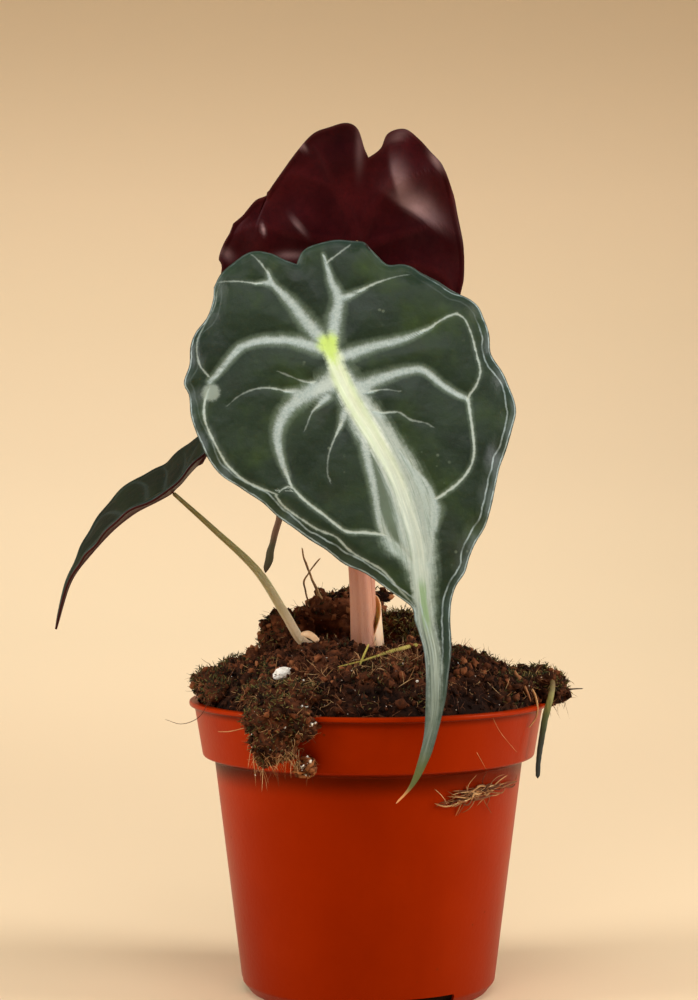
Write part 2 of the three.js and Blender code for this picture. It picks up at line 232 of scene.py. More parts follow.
class Route:
    # a smooth curve through a few points, read by its share of length
    def __init__(self, points, steps=10):
        self.places = smoothed(points, steps)
        self.reach = np.append(0, np.cumsum(np.linalg.norm(np.diff(self.places, axis=0), axis=1)))

    def at(self, share):
        reach = np.asarray(share) * self.reach[-1]
        return np.stack([np.interp(reach, self.reach, column) for column in self.places.T], axis=-1)


def spread(values, share):
    return np.interp(share, np.linspace(0, 1, len(values)), values)


def unit(vectors):
    return vectors / np.linalg.norm(vectors, axis=-1, keepdims=True)


def rough(places, size, depth=3, seed=0):
    # natural unevenness, about -1 to 1, with its largest bumps about size across
    shift = Vector((3.7, 1.9, 5.3)) * seed
    return np.array([noise.fractal(Vector(p) / size + shift, 1, 2, depth) for p in places])


def addGrid(bm, across, along, place, tint=0):
    # a grid laid where place(u, v) says, u and v being 0 to 1, and merged where its edges meet
    made = bmesh.ops.create_grid(bm, x_segments=across, y_segments=along, size=1)["verts"]
    u, v = (np.array([vert.co[:2] for vert in made]).T + 1) / 2
    layer = bm.verts.layers.float.get("tint")
    for vert, at in zip(made, place(u, v)):
        vert.co = at
        if layer:
            vert[layer] = tint
    bmesh.ops.remove_doubles(bm, verts=made, dist=1e-7)


anyTilt = (0.31, 0.52, 0.79)  # a direction that few fibres run in


def addTube(bm, points, radii, sides, steps, tint, shape=None):
    # a closed stalk or fibre along points in mm, pointed at both ends
    route = Route(np.array(points) * mm, 6)
    shares = np.linspace(0, 1, steps + 1)
    centres = route.at(shares)
    forward = unit(np.gradient(centres, axis=0))
    leaning = anyTilt if abs(forward[0][2]) < 0.7 else (0.9, 0.3, 0.1)
    sideways = [unit(np.cross(forward[0], leaning))]
    for ahead in forward[1:]:
        sideways.append(unit(sideways[-1] - ahead * np.dot(sideways[-1], ahead)))
    sideways = np.array(sideways)
    upward = np.cross(forward, sideways)
    thick = spread(np.array(radii) * mm, shares)
    thick[[0, -1]] = 0

    def place(u, v):
        row = np.rint(v * steps).astype(int)
        turn = -2 * math.pi * u
        radius = thick[row] * (shape(turn, v) if shape else 1)
        around = sideways[row] * np.cos(turn)[:, None] + upward[row] * np.sin(turn)[:, None]
        return centres[row] + around * radius[:, None]

    addGrid(bm, sides, steps, place, tint)


def treeOf(places):
    tree = kdtree.KDTree(len(places))
    for i, at in enumerate(places):
        tree.insert(at, i)
    tree.balance()
    return tree


def tintedMesh():
    bm = bmesh.new()
    bm.verts.layers.float.new("tint")
    return bm


def makePiece(name, mesh, paints, slot, *nodes):
    # a bmesh or mesh made an object of the plant, standing for the CAD nodes named
    if isinstance(mesh, bmesh.types.BMesh):
        bm, mesh = mesh, bpy.data.meshes.new(name)
        bm.to_mesh(mesh)
        bm.free()
    for paint in paints:
        mesh.materials.append(paint)
    mesh.polygons.foreach_set("use_smooth", [True] * len(mesh.polygons))
    made = bpy.data.objects.new(name, mesh)
    scene.collection.objects.link(made)
    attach(made, "root")
    if nodes:
        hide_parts(*nodes)
    print(name, len(mesh.polygons), "faces")
    return made


def giveField(mesh, name, values):
    mesh.attributes.new(name, "FLOAT", "POINT").data.foreach_set("value", np.asarray(values, np.float32))


def makeStudio():
    # a round paper sweep, so that every side has the same pale ground
    bm = bmesh.new()
    radius, curve = studio["floorRadius"], studio["curve"]
    profile = [(0, 0), (radius, 0)]
    for turn in np.linspace(0, math.pi / 2, 13)[1:]:
        profile.append((radius + curve * math.sin(turn), curve * (1 - math.cos(turn))))
    profile.append((radius + curve, studio["wallTop"]))
    ring = [bm.verts.new((x, 0, z)) for x, z in profile]
    for low, high in zip(ring, ring[1:]):
        bm.edges.new((low, high))
    bmesh.ops.spin(bm, geom=bm.verts[:] + bm.edges[:], axis=(0, 0, 1), cent=(0, 0, 0),
                   angle=2 * math.pi, steps=96, use_merge=True)
    bmesh.ops.remove_doubles(bm, verts=bm.verts, dist=1e-6)
    bmesh.ops.recalc_face_normals(bm, faces=bm.faces)
    mesh = bpy.data.meshes.new("paperSweep")
    bm.to_mesh(mesh)
    bm.free()
    mesh.polygons.foreach_set("use_smooth", [True] * len(mesh.polygons))
    paint = Paint("studioPaper")
    height = paint.height(paint.place())
    top = studio["paper"][-1][0]
    # painted light and shade on the paper, by height
    colour = paint.ramp(height / top, *((level / top, shade) for level, shade in studio["paper"]))
    mesh.materials.append(paint.surface(Base_Color=colour, Roughness=0.9, Specular_IOR_Level=0.1))
    made = bpy.data.objects.new("paperSweep", mesh)
    scene.collection.objects.link(made)


setCamera()
setLights()
makeStudio()
print("studio set")


# Pot: outline radii and heights in mm, as the CAD pot has them, with moulded corners.
pot = {"height": 69, "baseRadius": 28.1, "footRadius": 30.1, "footHeight": 2.5, "shoulderRadius": 36.6,
       "shoulderHeight": 55, "collarBottomRadius": 39.4, "collarBottomHeight": 56, "collarTopRadius": 41.4,
       "beadRadius": 42.6, "beadHeight": 1.2, "wall": 0.9, "floor": 1.2, "hollowRadius": 14,
       "hollowDepth": 0.6,
       "segments": 180, "corner": 0.45}
notch = {"count": 3, "width": 15, "height": 3.5, "depth": 7, "firstTurn": 25.8, "corner": 0.4}


def potPaint():
    paint = Paint("pottedOrangePlastic")
    place = paint.place()
    clouds = paint.noise(place, 26, 4)
    streaks = paint.noise(paint.place((1, 1, 0.12)), 90, 3)
    height = paint.height(place)
    # painted shade under the collar and under the lip, made patchy, and a few specks of peat dust
    patchy = clouds.rise(0.2, 0.65, 0.5, 1)
    paintedShadeUnderCollar = height.rise(0.049, 0.0548) * (1 - height.rise(0.0552, 0.0562)) * patchy
    paintedShadeUnderLip = height.rise(0.066, 0.0677) * (1 - height.rise(0.0679, 0.0682)) * patchy
    specks = paint.cells(place, 230).rise(0.05, 0.1, 1, 0) * paint.noise(place, 31, 2).rise(0.56, 0.66)
    colour = paint.mix(clouds.rise(0.35, 0.7), (134, 30, 0), (143, 35, 0))
    colour = paint.coats(colour, (streaks.rise(0.5, 0.75, 0, 0.25), (128, 27, 0)),
                         (paintedShadeUnderCollar * 0.9, (44, 8, 1)),
                         # painted shade: darker towards the foot
                         (height.rise(0, 0.05, 0.3, 0), (96, 18, 0)), (paintedShadeUnderLip * 0.7, (64, 12, 1)),
                         (specks * 0.7, (80, 40, 18)))
    scuffs = paint.noise(paint.place((1, 1, 0.3)), 240, 5, 0.7)
    gloss = clouds.rise(0.3, 0.7, 0.3, 0.4) + scuffs.rise(0.6, 0.8) * 0.15 + specks * 0.3
    skin = paint.noise(place, 900, 2)
    normal = paint.bump(skin + scuffs * 0.5, 0.00004)
    return paint.surface(Base_Color=colour, Roughness=gloss, Normal=normal, Specular_IOR_Level=0.09,
                         Specular_Tint=seen(255, 150, 60))


def rounded(profile, radius):
    # the profile with each inner corner turned into a short curve
    soft = [profile[0]]
    for before, corner, after in zip(profile, profile[1:], profile[2:]):
        before, corner, after = (np.array(p, float) for p in (before, corner, after))
        reach = min(radius, np.linalg.norm(before - corner) / 2, np.linalg.norm(after - corner) / 2)
        start = corner + unit(before - corner) * reach
        end = corner + unit(after - corner) * reach
        for t in np.linspace(0, 1, 4):
            soft.append((1 - t) ** 2 * start + 2 * t * (1 - t) * corner + t ** 2 * end)
    return [*soft, profile[-1]]


def turnedMesh(profile, segments):
    bm = bmesh.new()
    verts = [bm.verts.new((radius * mm, 0, height * mm)) for radius, height in profile]
    for low, high in zip(verts, verts[1:]):
        bm.edges.new((low, high))
    bmesh.ops.spin(bm, geom=bm.verts[:] + bm.edges[:], axis=(0, 0, 1), cent=(0, 0, 0),
                   angle=2 * math.pi, steps=segments, use_merge=True)
    bmesh.ops.remove_doubles(bm, verts=bm.verts, dist=1e-6)
    bmesh.ops.recalc_face_normals(bm, faces=bm.faces)
    return bm


def potOutline():
    p = pot
    bead, step, hollow = p["height"] - p["beadHeight"], p["hollowDepth"], p["hollowRadius"]
    outside = [(0, step), (hollow, step), (hollow + step, 0), (p["baseRadius"], 0),
               (p["footRadius"], p["footHeight"]), (p["shoulderRadius"], p["shoulderHeight"]),
               (p["collarBottomRadius"], p["collarBottomHeight"]), (p["collarTopRadius"], bead),
               (p["beadRadius"], bead), (p["beadRadius"], p["height"])]
    inside = [(p["collarTopRadius"] - p["wall"], p["height"]),
              (p["collarBottomRadius"] - p["wall"], p["collarBottomHeight"] + p["wall"] / 2),
              (p["shoulderRadius"] - p["wall"], p["shoulderHeight"]),
              (p["footRadius"] - p["wall"], p["footHeight"]),
              (p["footRadius"] - 2 * p["wall"], p["floor"]), (0, p["floor"])]
    return rounded(outside + inside, p["corner"])


def cutNotches(made):
    cutters = bmesh.new()
    for i in range(notch["count"]):
        size = Matrix.Diagonal((notch["width"] * mm, notch["depth"] * mm, 2 * notch["height"] * mm, 1))
        turn = Matrix.Rotation(math.radians(notch["firstTurn"] + i * 360 / notch["count"]), 4, "Z")
        shift = Matrix.Translation((0, -pot["footRadius"] * mm, 0))
        bmesh.ops.create_cube(cutters, size=1, matrix=turn @ shift @ size)
    upright = [edge for edge in cutters.edges if abs((edge.verts[0].co - edge.verts[1].co).z) < 1e-6]
    bmesh.ops.bevel(cutters, geom=upright, offset=notch["corner"] * mm, segments=2, profile=0.5,
                    affect="EDGES",
                    material=-1)
    mesh = bpy.data.meshes.new("notchCutters")
    cutters.to_mesh(mesh)
    cutters.free()
    tool = bpy.data.objects.new("notchCutters", mesh)
    scene.collection.objects.link(tool)
    cut = made.modifiers.new("notches", "BOOLEAN")
    cut.object = tool
    cut.solver = "EXACT"
    bpy.context.view_layer.update()
    ready = made.evaluated_get(bpy.context.evaluated_depsgraph_get())
    made.data = bpy.data.meshes.new_from_object(ready)
    made.modifiers.clear()
    bpy.data.objects.remove(tool)


def makePot():
    made = makePiece("nurseryPot", turnedMesh(potOutline(), pot["segments"]), [potPaint()], "pot_plastic",
                     "nursery_pot")
    cutNotches(made)
    sharp = made.modifiers.new("edges", "WEIGHTED_NORMAL")
    sharp.keep_sharp = True


makePot()


# Root ball: the same dome as in CAD, in mm, with peat crumbs, fibres and moss on it.
mound = {"edge": 68.5, "rise": 13.5, "fullness": 3, "roundness": 0.75, "ripple": 0.5, "rippleLengths": (4, 5),
         "domeRadius": 40.2, "radius": 40.0, "around": 300, "rows": 180, "topShare": 0.86,
         "relief": ((9, 2), (3.4, 1.8), (1.3, 1)),
         # a hollow in front of the stalks: across, back, reach and depth
         "hollow": (2, -4, 6, 2.6),
         "sideRadii": (40.0, 38.2, 35.4, 32.4, 29.0, 27.6, 0),
         "sideHeights": (68.3, 56.9, 54.6, 27, 2.6, 1.6, 1.6),
         "crumbs": 6400, "fibres": 2600, "straws": 40, "leaflets": 5000,
         # loose things lie above the first height, and crumbs are darker below the second
         "litterFrom": 68.4, "darkBelow": 75.5,
         # tangles of tan fibres: middle, reach and count
         "tangles": [((-17, -31), 6, 110), ((-9, -33), 4, 50), ((2, -25), 4.5, 260), ((9, -21), 4, 220),
                     ((12, -30), 3, 50), ((28, -24), 4, 40), ((-30, -20), 4, 30)]}


def moundHeight(x, y):
    share = np.minimum(np.hypot(x, y) / mound["domeRadius"], 1)
    dome = (1 - share ** mound["fullness"]) ** mound["roundness"]
    wave = np.sin(x / mound["rippleLengths"][0]) * np.cos(y / mound["rippleLengths"][1])
    return mound["edge"] + mound["rise"] * dome + mound["ripple"] * wave * (1 - share)


def peatPaint():
    # tint 0 is black humus, 0.5 brown peat, 1 dry reddish fibre
    paint = Paint("moistPeat")
    place = paint.place()
    tint = paint.field("tint")
    clouds = paint.noise(place, 140, 5, 0.6)
    grains = paint.cells(place, 900)
    shade = tint + (clouds - 0.5) * 0.7 + (grains - 0.5) * 0.25
    colour = paint.ramp(shade, (0.05, (25, 14, 9)), (0.3, (50, 28, 17)), (0.5, (82, 46, 28)),
                        (0.72, (116, 66, 40)), (0.95, (158, 102, 64)))
    green = paint.noise(place, 75, 3).rise(0.6, 0.72) * paint.noise(place, 420, 2).rise(0.45, 0.6)
    glints = paint.cells(place, 620).rise(0.06, 0.12, 1, 0) * paint.noise(place, 260, 1).rise(0.55, 0.6)
    colour = paint.coats(colour, (green * 0.4, (48, 54, 18)), (glints * 0.8, (196, 178, 158)))
    normal = paint.bump(paint.noise(place, 700, 5, 0.7), 0.0006)
    gloss = clouds.rise(0.3, 0.7, 0.6, 0.95) - glints * 0.4
    return paint.surface(Base_Color=colour, Roughness=gloss, Normal=normal, Specular_IOR_Level=0.03)


def fibrePaint():
    # tint 0 is dark root, 0.5 reddish brown, 1 bleached straw
    paint = Paint("peatFibre")
    place = paint.place()
    shade = paint.field("tint") + (paint.noise(place, 260, 3) - 0.5) * 0.5
    colour = paint.ramp(shade, (0.05, (26, 15, 10)), (0.35, (80, 42, 24)), (0.6, (128, 80, 46)),
                        (0.8, (168, 124, 78)), (1, (206, 172, 122)))
    normal = paint.bump(paint.noise(paint.place((1, 1, 0.4)), 1500, 2), 0.0001)
    return paint.surface(Base_Color=colour, Roughness=0.8, Normal=normal, Specular_IOR_Level=0.2)


def mossPaint():
    # tint 0 is deep green, 0.5 olive, 1 yellow-green
    paint = Paint("livingMoss")
    place = paint.place()
    shade = paint.field("tint") + (paint.noise(place, 200, 3) - 0.5) * 0.6
    colour = paint.ramp(shade, (0.05, (18, 20, 7)), (0.4, (52, 53, 19)), (0.7, (90, 83, 36)),
                        (1, (148, 126, 70)))
    normal = paint.bump(paint.noise(place, 1400, 2), 0.0001)
    return paint.surface(Base_Color=colour, Roughness=0.75, Normal=normal, Specular_IOR_Level=0.2)


peat = peatPaint()
fibre = fibrePaint()
moss = mossPaint()


def spotsOn(mesh, count, keep=None):
    # random places on a mesh, evenly by area, and their outward directions
    bm = bmesh.new()
    bm.from_mesh(mesh)
    faces = [face for face in bm.faces if keep is None or keep(face)]
    areas = np.array([face.calc_area() for face in faces])
    chosen = luck.choice(len(faces), count, p=areas / areas.sum())
    places = np.array([faces[i].calc_center_median() for i in chosen])
    outward = np.array([faces[i].normal for i in chosen])
    bm.free()
    return places, outward


def anyDirections(count):
    return unit(luck.normal(size=(count, 3)))


def manyOf(template, count):
    # count copies of a small closed shape in one mesh, and their vertices as count lists
    seed = bpy.data.meshes.new("seed")
    template.to_mesh(seed)
    template.free()
    each = [len(seed.vertices), len(seed.edges), len(seed.polygons)]
    bm = bmesh.new()
    bm.from_mesh(seed)
    while len(bm.verts) < count * each[0]:
        have = len(bm.verts) // each[0]
        more = min(have, count - have)
        parts = [seq[:more * size] for seq, size in zip((bm.verts, bm.edges, bm.faces), each)]
        bmesh.ops.duplicate(bm, geom=sum(parts, []))
    mesh = bpy.data.meshes.new("copies")
    bm.to_mesh(mesh)
    bm.free()
    spots = np.zeros(len(mesh.vertices) * 3)
    mesh.vertices.foreach_get("co", spots)
    return mesh, spots.reshape(count, each[0], 3)


def settle(mesh, places, tints):
    # the copies' places and a tint for each copy
    mesh.vertices.foreach_set("co", places.ravel())
    giveField(mesh, "tint", np.repeat(tints, places.shape[1]))
    return mesh


def turnedBy(directions, angles):
    # rotation matrices, one for each direction and angle
    return np.array([Matrix.Rotation(a, 3, Vector(d)) for d, a in zip(directions, angles)])


def crumbs(spots, small, large, tints=(0, 0.8), sink=0.25):
    places, outward = spots
    count = len(places)
    template = bmesh.new()
    bmesh.ops.create_icosphere(template, subdivisions=1, radius=1)
    mesh, shapes = manyOf(template, count)
    size = small * (large / small) ** (luck.random(count) ** 1.9) * mm
    shapes = shapes * luck.uniform(0.4, 1.4, (count, 1, 3)) + luck.normal(0, 0.26, shapes.shape)
    turns = turnedBy(anyDirections(count), luck.uniform(0, math.tau, count))
    shapes = np.einsum("nij,nkj->nki", turns, shapes) * size[:, None, None]
    seats = places + outward * size[:, None] * (0.5 - sink)
    return settle(mesh, shapes + seats[:, None], luck.uniform(*tints, count))


def strands(spots, lengths, radii, tints=(0, 1), lift=(-0.1, 0.25), curl=0.7, sides=3, steps=5, droop=0):
    # thin pointed fibres that start at the spots; lift 0 lies along the surface, and much lift stands up
    places, outward = spots
    count = len(places)
    template = bmesh.new()
    shares = np.linspace(0, 1, steps + 1)

    def place(u, v):
        girth = np.where((v < 0.01) | (v > 0.99), 0, 1)
        return np.stack([np.cos(math.tau * u) * girth, -np.sin(math.tau * u) * girth, v], axis=1)

    addGrid(template, sides, steps, place)
    mesh, shapes = manyOf(template, count)
    length = (luck.uniform(*lengths, count) * mm)[:, None]
    flat = anyDirections(count)
    flat = unit(flat - outward * (flat * outward).sum(1)[:, None])
    along = unit(flat + outward * luck.uniform(*lift, count)[:, None])
    bend = anyDirections(count) * length * curl
    start = places + outward * (luck.uniform(0, 0.4, count) * mm)[:, None]
    middle = start + along * length * 0.5 + bend * 0.5
    curl = bend * luck.uniform(-0.4, 0.8, (count, 1))
    end = start + along * length + curl - np.array([0, 0, droop]) * length
    return settle(mesh, bentAlong(shapes, start, middle, end, luck.uniform(*radii, count) * mm),
                  luck.uniform(*tints, count))


def bentAlong(shapes, start, middle, end, radius):
    # upright unit shapes laid along curves from start to end
    share = shapes[..., 2:3]
    start, middle, end = start[:, None], middle[:, None], end[:, None]
    centre = start * (1 - share) ** 2 + middle * 2 * share * (1 - share) + end * share ** 2
    forward = unit((middle - start) * (1 - share) + (end - middle) * share + 1e-9)
    sideways = unit(np.cross(forward, unit(np.array(anyTilt)) + 0 * forward))
    upward = np.cross(forward, sideways)
    girth = radius[:, None, None] * (1 - 0.5 * share)
    return centre + (sideways * shapes[..., 0:1] + upward * shapes[..., 1:2]) * girth


def joined(name, parts):
    # several meshes as one, each with the material of its number
    bm = bmesh.new()
    for mesh, number in parts:
        mesh.polygons.foreach_set("material_index", [number] * len(mesh.polygons))
        bm.from_mesh(mesh)
    mesh = bpy.data.meshes.new(name)
    bm.to_mesh(mesh)
    bm.free()
    return mesh


def someOf(spots, start, end):
    return spots[0][start:end], spots[1][start:end]


def soilPlace(u, v):
    # v 0 is the middle of the top; past topShare the surface turns down inside the pot's wall to its floor
    top = mound["topShare"]
    radius = mound["radius"] * np.minimum(v / top, 1)
    below = np.clip((v - top) / (1 - top), 0, 1)
    turn = math.tau * u
    radius = np.where(below > 0, spread(mound["sideRadii"], below), radius)
    x, y = radius * np.cos(turn), -radius * np.sin(turn)
    across, back, reach, depth = mound["hollow"]
    dip = depth * np.exp(-((x - across) ** 2 + (y - back) ** 2) / reach ** 2)
    z = np.where(below > 0, spread(mound["sideHeights"], below), moundHeight(x, y) - dip)
    places = np.stack([x, y, z], axis=1)
    edge = np.clip((mound["radius"] - np.hypot(x, y)) / 4, 0.15, 1) * (below == 0)
    for size, depth in mound["relief"]:
        places[:, 2] += depth * edge * rough(places, size, 3, size)
    return places * mm


def makeSoil():
    bm = tintedMesh()
    addGrid(bm, mound["around"], mound["rows"], soilPlace, 0.35)
    layer = bm.verts.layers.float.get("tint")
    for vert in bm.verts:
        # painted shade: darker in the relief's pits and paler where it stands out, and darker the lower it
        # lies
        x, y, z = vert.co / mm
        paler = 0.2 + 0.12 * (z - moundHeight(x, y)) + 0.02 * (z - 76)
        vert[layer] = min(max(paler, 0.02), 0.6) + 0.2 * noise.noise(vert.co / (5 * mm))
    made = makePiece("pottingSoil", bm, [peat], "peat", "potting_soil")
    spots = spotsOn(made.data, mound["crumbs"] + mound["fibres"] + mound["straws"] + mound["leaflets"],
                    lambda face: face.calc_center_median().z > mound["litterFrom"] * mm)
    ends = np.cumsum([0, mound["crumbs"], mound["fibres"], mound["straws"], mound["leaflets"]])
    crumb, hair, stem, green = (someOf(spots, a, b) for a, b in zip(ends, ends[1:]))
    high = crumb[0][:, 2] > mound["darkBelow"] * mm
    grains = [(crumbs([column[some] for column in crumb], 0.14, 1.1, tints), 0)
              for some, tints in ((high, (0, 0.8)), (~high, (0, 0.5)))]
    makePiece("peatCrumbs", joined("peatCrumbs", grains), [peat], "peat")
    parts = [(strands(hair, (0.8, 4.5), (0.03, 0.08), (0, 0.6)), 0),
             (strands(stem, (2, 6), (0.05, 0.1), (0.4, 0.9), curl=0.5), 0)]
    for place, reach, count in mound["tangles"]:
        middle = Vector((*place, 75))
        spots = spotsOn(made.data, count,
                        lambda face: (face.calc_center_median() / mm - middle).length < reach + 4)
        parts.append((strands(spots, (1, 4), (0.04, 0.11), (0.3, 0.95), (0.1, 0.7), 1.1), 0))
    makePiece("peatFibres", joined("hairs", parts), [fibre], "straw")
    mossy = rough(green[0] / mm, 14, 2, 5) > 0.05
    green = strands([column[mossy] for column in green], (0.5, 1.8), (0.08, 0.2), (0, 0.75), (0.3, 2), 0.4,
                    3, 3)
    makePiece("mossLeaflets", green, [moss], "moss")


makeSoil()


# Clods and moss cushions on the root ball: lumps in mm with their middle and half-axes, as in CAD, and what
# grows on them. Box shapes a lump: 2 is round and 4 is boxy. Dry is the share of pale fibres.
clods = {
    "rearPeatClod": {
        "nodes": ["rear_peat_clod"], "slot": "peat", "box": 3.4, "tint": (0.35, 1), "mossTint": (0, 0.6),
        "dry": 0.1,
        "lumps": [((-7, 16.5, 83), (10.5, 7.5, 9.6)), ((-2.5, 16, 92.4), (7.2, 2.6, 1.3), -0.6)],
        "crumbs": 900, "fibres": 420, "leaflets": 160, "mossSide": (0.1, 0.2, 1), "mossFrom": 0.85},
    "leftPeatClod": {
        "nodes": ["left_peat_clod"], "slot": "peat", "box": 2.4, "tint": (0.15, 0.9), "mossTint": (0, 0.9),
        "dry": 0.15,
        "lumps": [((-19.5, 5.5, 81), (6.4, 5, 8.2)), ((-24.5, 2, 76.5), (6, 5, 4.5))],
        "crumbs": 700, "fibres": 260, "leaflets": 420, "mossSide": (-1, -0.35, 0), "mossFrom": 0.55},
    "mossCushion": {
        "nodes": ["moss_cushion"], "slot": "moss", "box": 2.2, "tint": (0.1, 0.8), "mossTint": (0.35, 1.1),
        "dry": 0.35,
        "lumps": [((8.6, 10, 83.4), (6, 5, 5.6)), ((13.5, 5, 81), (5, 4, 3))],
        "crumbs": 420, "fibres": 420, "leaflets": 2100, "mossSide": (0, -0.2, 1), "mossFrom": -0.3},
    "leftRimMoss": {
        "nodes": ["left_rim_moss"], "slot": "moss", "box": 2.2, "tint": (0.1, 0.8), "mossTint": (0, 0.8),
        "dry": 0.3,
        "lumps": [((-36.2, -6, 73), (5, 7, 3.4)), ((-34, -14, 71.6), (4.5, 6, 2.6)),
                  ((-30, 0, 75), (5, 6, 3.4))],
        "crumbs": 500, "fibres": 260, "leaflets": 900, "mossSide": (-0.5, -0.2, 1), "mossFrom": 0},
    "frontPeatClump": {
        "nodes": ["front_peat_clump"], "slot": "peat", "box": 2.3, "tint": (0, 0.75), "mossTint": (0.1, 0.9),
        "dry": 0.45,
        "lumps": [((-20.4, -38.4, 68.2), (7, 4.6, 4.6)), ((-21.6, -40.4, 63.6), (4.6, 3, 3.6)),
                  ((-15.8, -40, 66.8), (3.6, 2.6, 3)), ((-18.6, -40.2, 61.8), (2.3, 1.8, 2.2)),
                  ((-23, -39.8, 60), (1.9, 1.5, 2.4)),
                  ((-18, -33, 72.5), (10, 5, 3))],
        "crumbs": 1200, "fibres": 1100, "leaflets": 1000, "hanging": (110, 63), "mossSide": (-0.8, -0.3, 0.5),
        "mossFrom": 0.2},
    "rightPeatClump": {
        "nodes": ["right_peat_clump"], "slot": "peat", "box": 2.3, "tint": (0, 0.7), "mossTint": (0.1, 1),
        "dry": 0.25,
        "lumps": [((39.6, -5.5, 72.6), (6.4, 7.5, 4)), ((45.2, -6, 70.6), (2.4, 1.8, 1.8)),
                  ((33, -12, 73), (6, 6, 2.6))],
        "crumbs": 900, "fibres": 700, "leaflets": 600, "hanging": (60, 72), "mossSide": (0.2, -0.1, 1),
        "mossFrom": 0.3},
    "pearlyClod": {
        "nodes": [], "slot": "peat", "box": 2, "tint": (0.4, 1), "mossTint": (0, 0.8), "dry": 0.3,
        "lumps": [((-14.2, -39.4, 57.8), (2.3, 1.6, 1.7))],
        "crumbs": 150, "fibres": 60, "leaflets": 20, "mossSide": (0, 0, 1), "mossFrom": 0},
    "stalkFootClod": {
        "nodes": [], "slot": "peat", "box": 2.2, "tint": (0.2, 0.8), "mossTint": (0, 0.8), "dry": 0.2,
        "lumps": [((-9, -8.4, 80.4), (5.6, 2.4, 3)), ((-3.6, -7.6, 79.2), (4, 2.4, 2.4))],
        "crumbs": 260, "fibres": 160, "leaflets": 60, "mossSide": (0, 0, 1), "mossFrom": 0},
}
clodDetail = {"relief": ((6, 0.2), (2.4, 0.22), (0.9, 0.14)), "small": 0.15, "large": 1.1}


def lumpMesh(lumps, box, tint):
    # rough lumps, each a ball pulled towards a box and made uneven
    bm = tintedMesh()
    layer = bm.verts.layers.float.get("tint")
    for middle, halves, *darker in lumps:
        made = bmesh.ops.create_icosphere(bm, subdivisions=4, radius=1)["verts"]
        balls = np.array([vert.co for vert in made])
        balls /= (np.abs(balls) ** box).sum(1, keepdims=True) ** (1 / box)
        places = balls * halves + middle
        swell = sum(depth * rough(places, size, 3, size) for size, depth in clodDetail["relief"])
        places = balls * (1 + swell[:, None]) * halves + middle
        shade = tint[0] + (tint[1] - tint[0]) * (0.5 + 0.4 * rough(places, 3, 2)) + sum(darker)
        for vert, at, share in zip(made, places * mm, shade):
            vert.co = at
            vert[layer] = share
    mesh = bpy.data.meshes.new("lumps")
    bm.to_mesh(mesh)
    bm.free()
    return mesh


def makeClods():
    for name, clod in clods.items():
        body = lumpMesh(clod["lumps"], clod["box"], clod["tint"])
        dry = int(clod["fibres"] * clod["dry"])
        ends = np.cumsum([0, clod["crumbs"], clod["fibres"] - dry, dry, clod["leaflets"]])
        spots = spotsOn(body, ends[3])
        crumb, hair, stem = (someOf(spots, a, b) for a, b in zip(ends, ends[1:4]))
        side = Vector(clod["mossSide"]).normalized()
        green = spotsOn(body, clod["leaflets"], lambda face: face.normal.dot(side) > clod["mossFrom"])
        parts = [(body, 0), (crumbs(crumb, clodDetail["small"], clodDetail["large"], clod["tint"]), 0),
                 (strands(hair, (0.8, 3), (0.03, 0.08), (0, 0.6), (0, 0.7)), 1),
                 (strands(stem, (1, 3.4), (0.04, 0.09), (0.4, 0.95), (0, 0.6), 1), 1),
                 (strands(green, (0.6, 1.9), (0.08, 0.2), clod["mossTint"], (0.3, 2), 0.4, 3, 3), 2)]
        if "hanging" in clod:
            count, height = clod["hanging"]
            low = spotsOn(body, count,
                          lambda face: face.normal.y < 0.2 and face.calc_center_median().z < height * mm)
            parts.append((strands(low, (1.5, 4.2), (0.04, 0.09), (0.4, 1), (0, 0.3), 0.4, droop=0.9), 1))
        makePiece(name, joined(name, parts), [peat, fibre, moss], clod["slot"], *clod["nodes"])


makeClods()


# Single loose things, in mm.
perlite = {"places": [(-19.8, -26), (12.5, -27)], "halves": [(2.1, 1.5, 1.3), (1.2, 1, 0.9)],
           "specks": [("frontPeatClump", (0.6, -0.8, 0), 36), ("pearlyClod", (0, -1, 0.2), 34)]}
strand = {"route": [(41.4, -9.5, 75.4), (42.8, -12.8, 74), (42, -15.4, 70.4), (40.8, -15.9, 66),
                    (39.8, -15.9, 60), (39.3, -15.9, 56), (39.1, -15.9, 52)],
          "radii": [0.3, 0.6, 0.75, 0.8, 0.75, 0.7, 0.6, 0.5], "flatness": 0.45}
straw = {"route": [(-7.4, -28), (-1.8, -26), (3.8, -20.4), (7.4, -14.8), (11.6, -8.6)],
         "radii": [0.12, 0.2, 0.3, 0.45, 0.5, 0.45], "lift": 1.1,
         # a second one stands across it, given with its height over the soil
         "cross": [(-2.2, -26.6, 0.4), (-1.2, -26.2, 2.6), (-0.1, -26, 5)], "crossRadii": [0.22, 0.26, 0.2]}
twigs = {
    "twigOne": {"node": "twig_1", "route": [(-9.8, 13.6, 89), (-12.4, 12.4, 94), (-14.6, 11.8, 99.4),
                                            (-16.2, 11, 104.6)], "radii": [0.42, 0.4, 0.3, 0.26, 0.2]},
    "twigTwo": {"node": "twig_2", "route": [(-13.4, 14.6, 87.4), (-15.6, 13.6, 95.5), (-14.2, 13.2, 98.6),
                                            (-11.6, 12.6, 102)], "radii": [0.3, 0.26, 0.24, 0.18]},
}
stub = {"route": [(-15.8, -7.2, 85), (-13.8, -8.6, 84.8), (-11.8, -9.8, 83.4)], "radii": [0.4, 0.9, 0.8, 0.6]}
tuft = {"middle": (24.2, 50.3), "halves": (7, 1.3), "tilt": 0.2, "fibres": 80, "stray": 12}
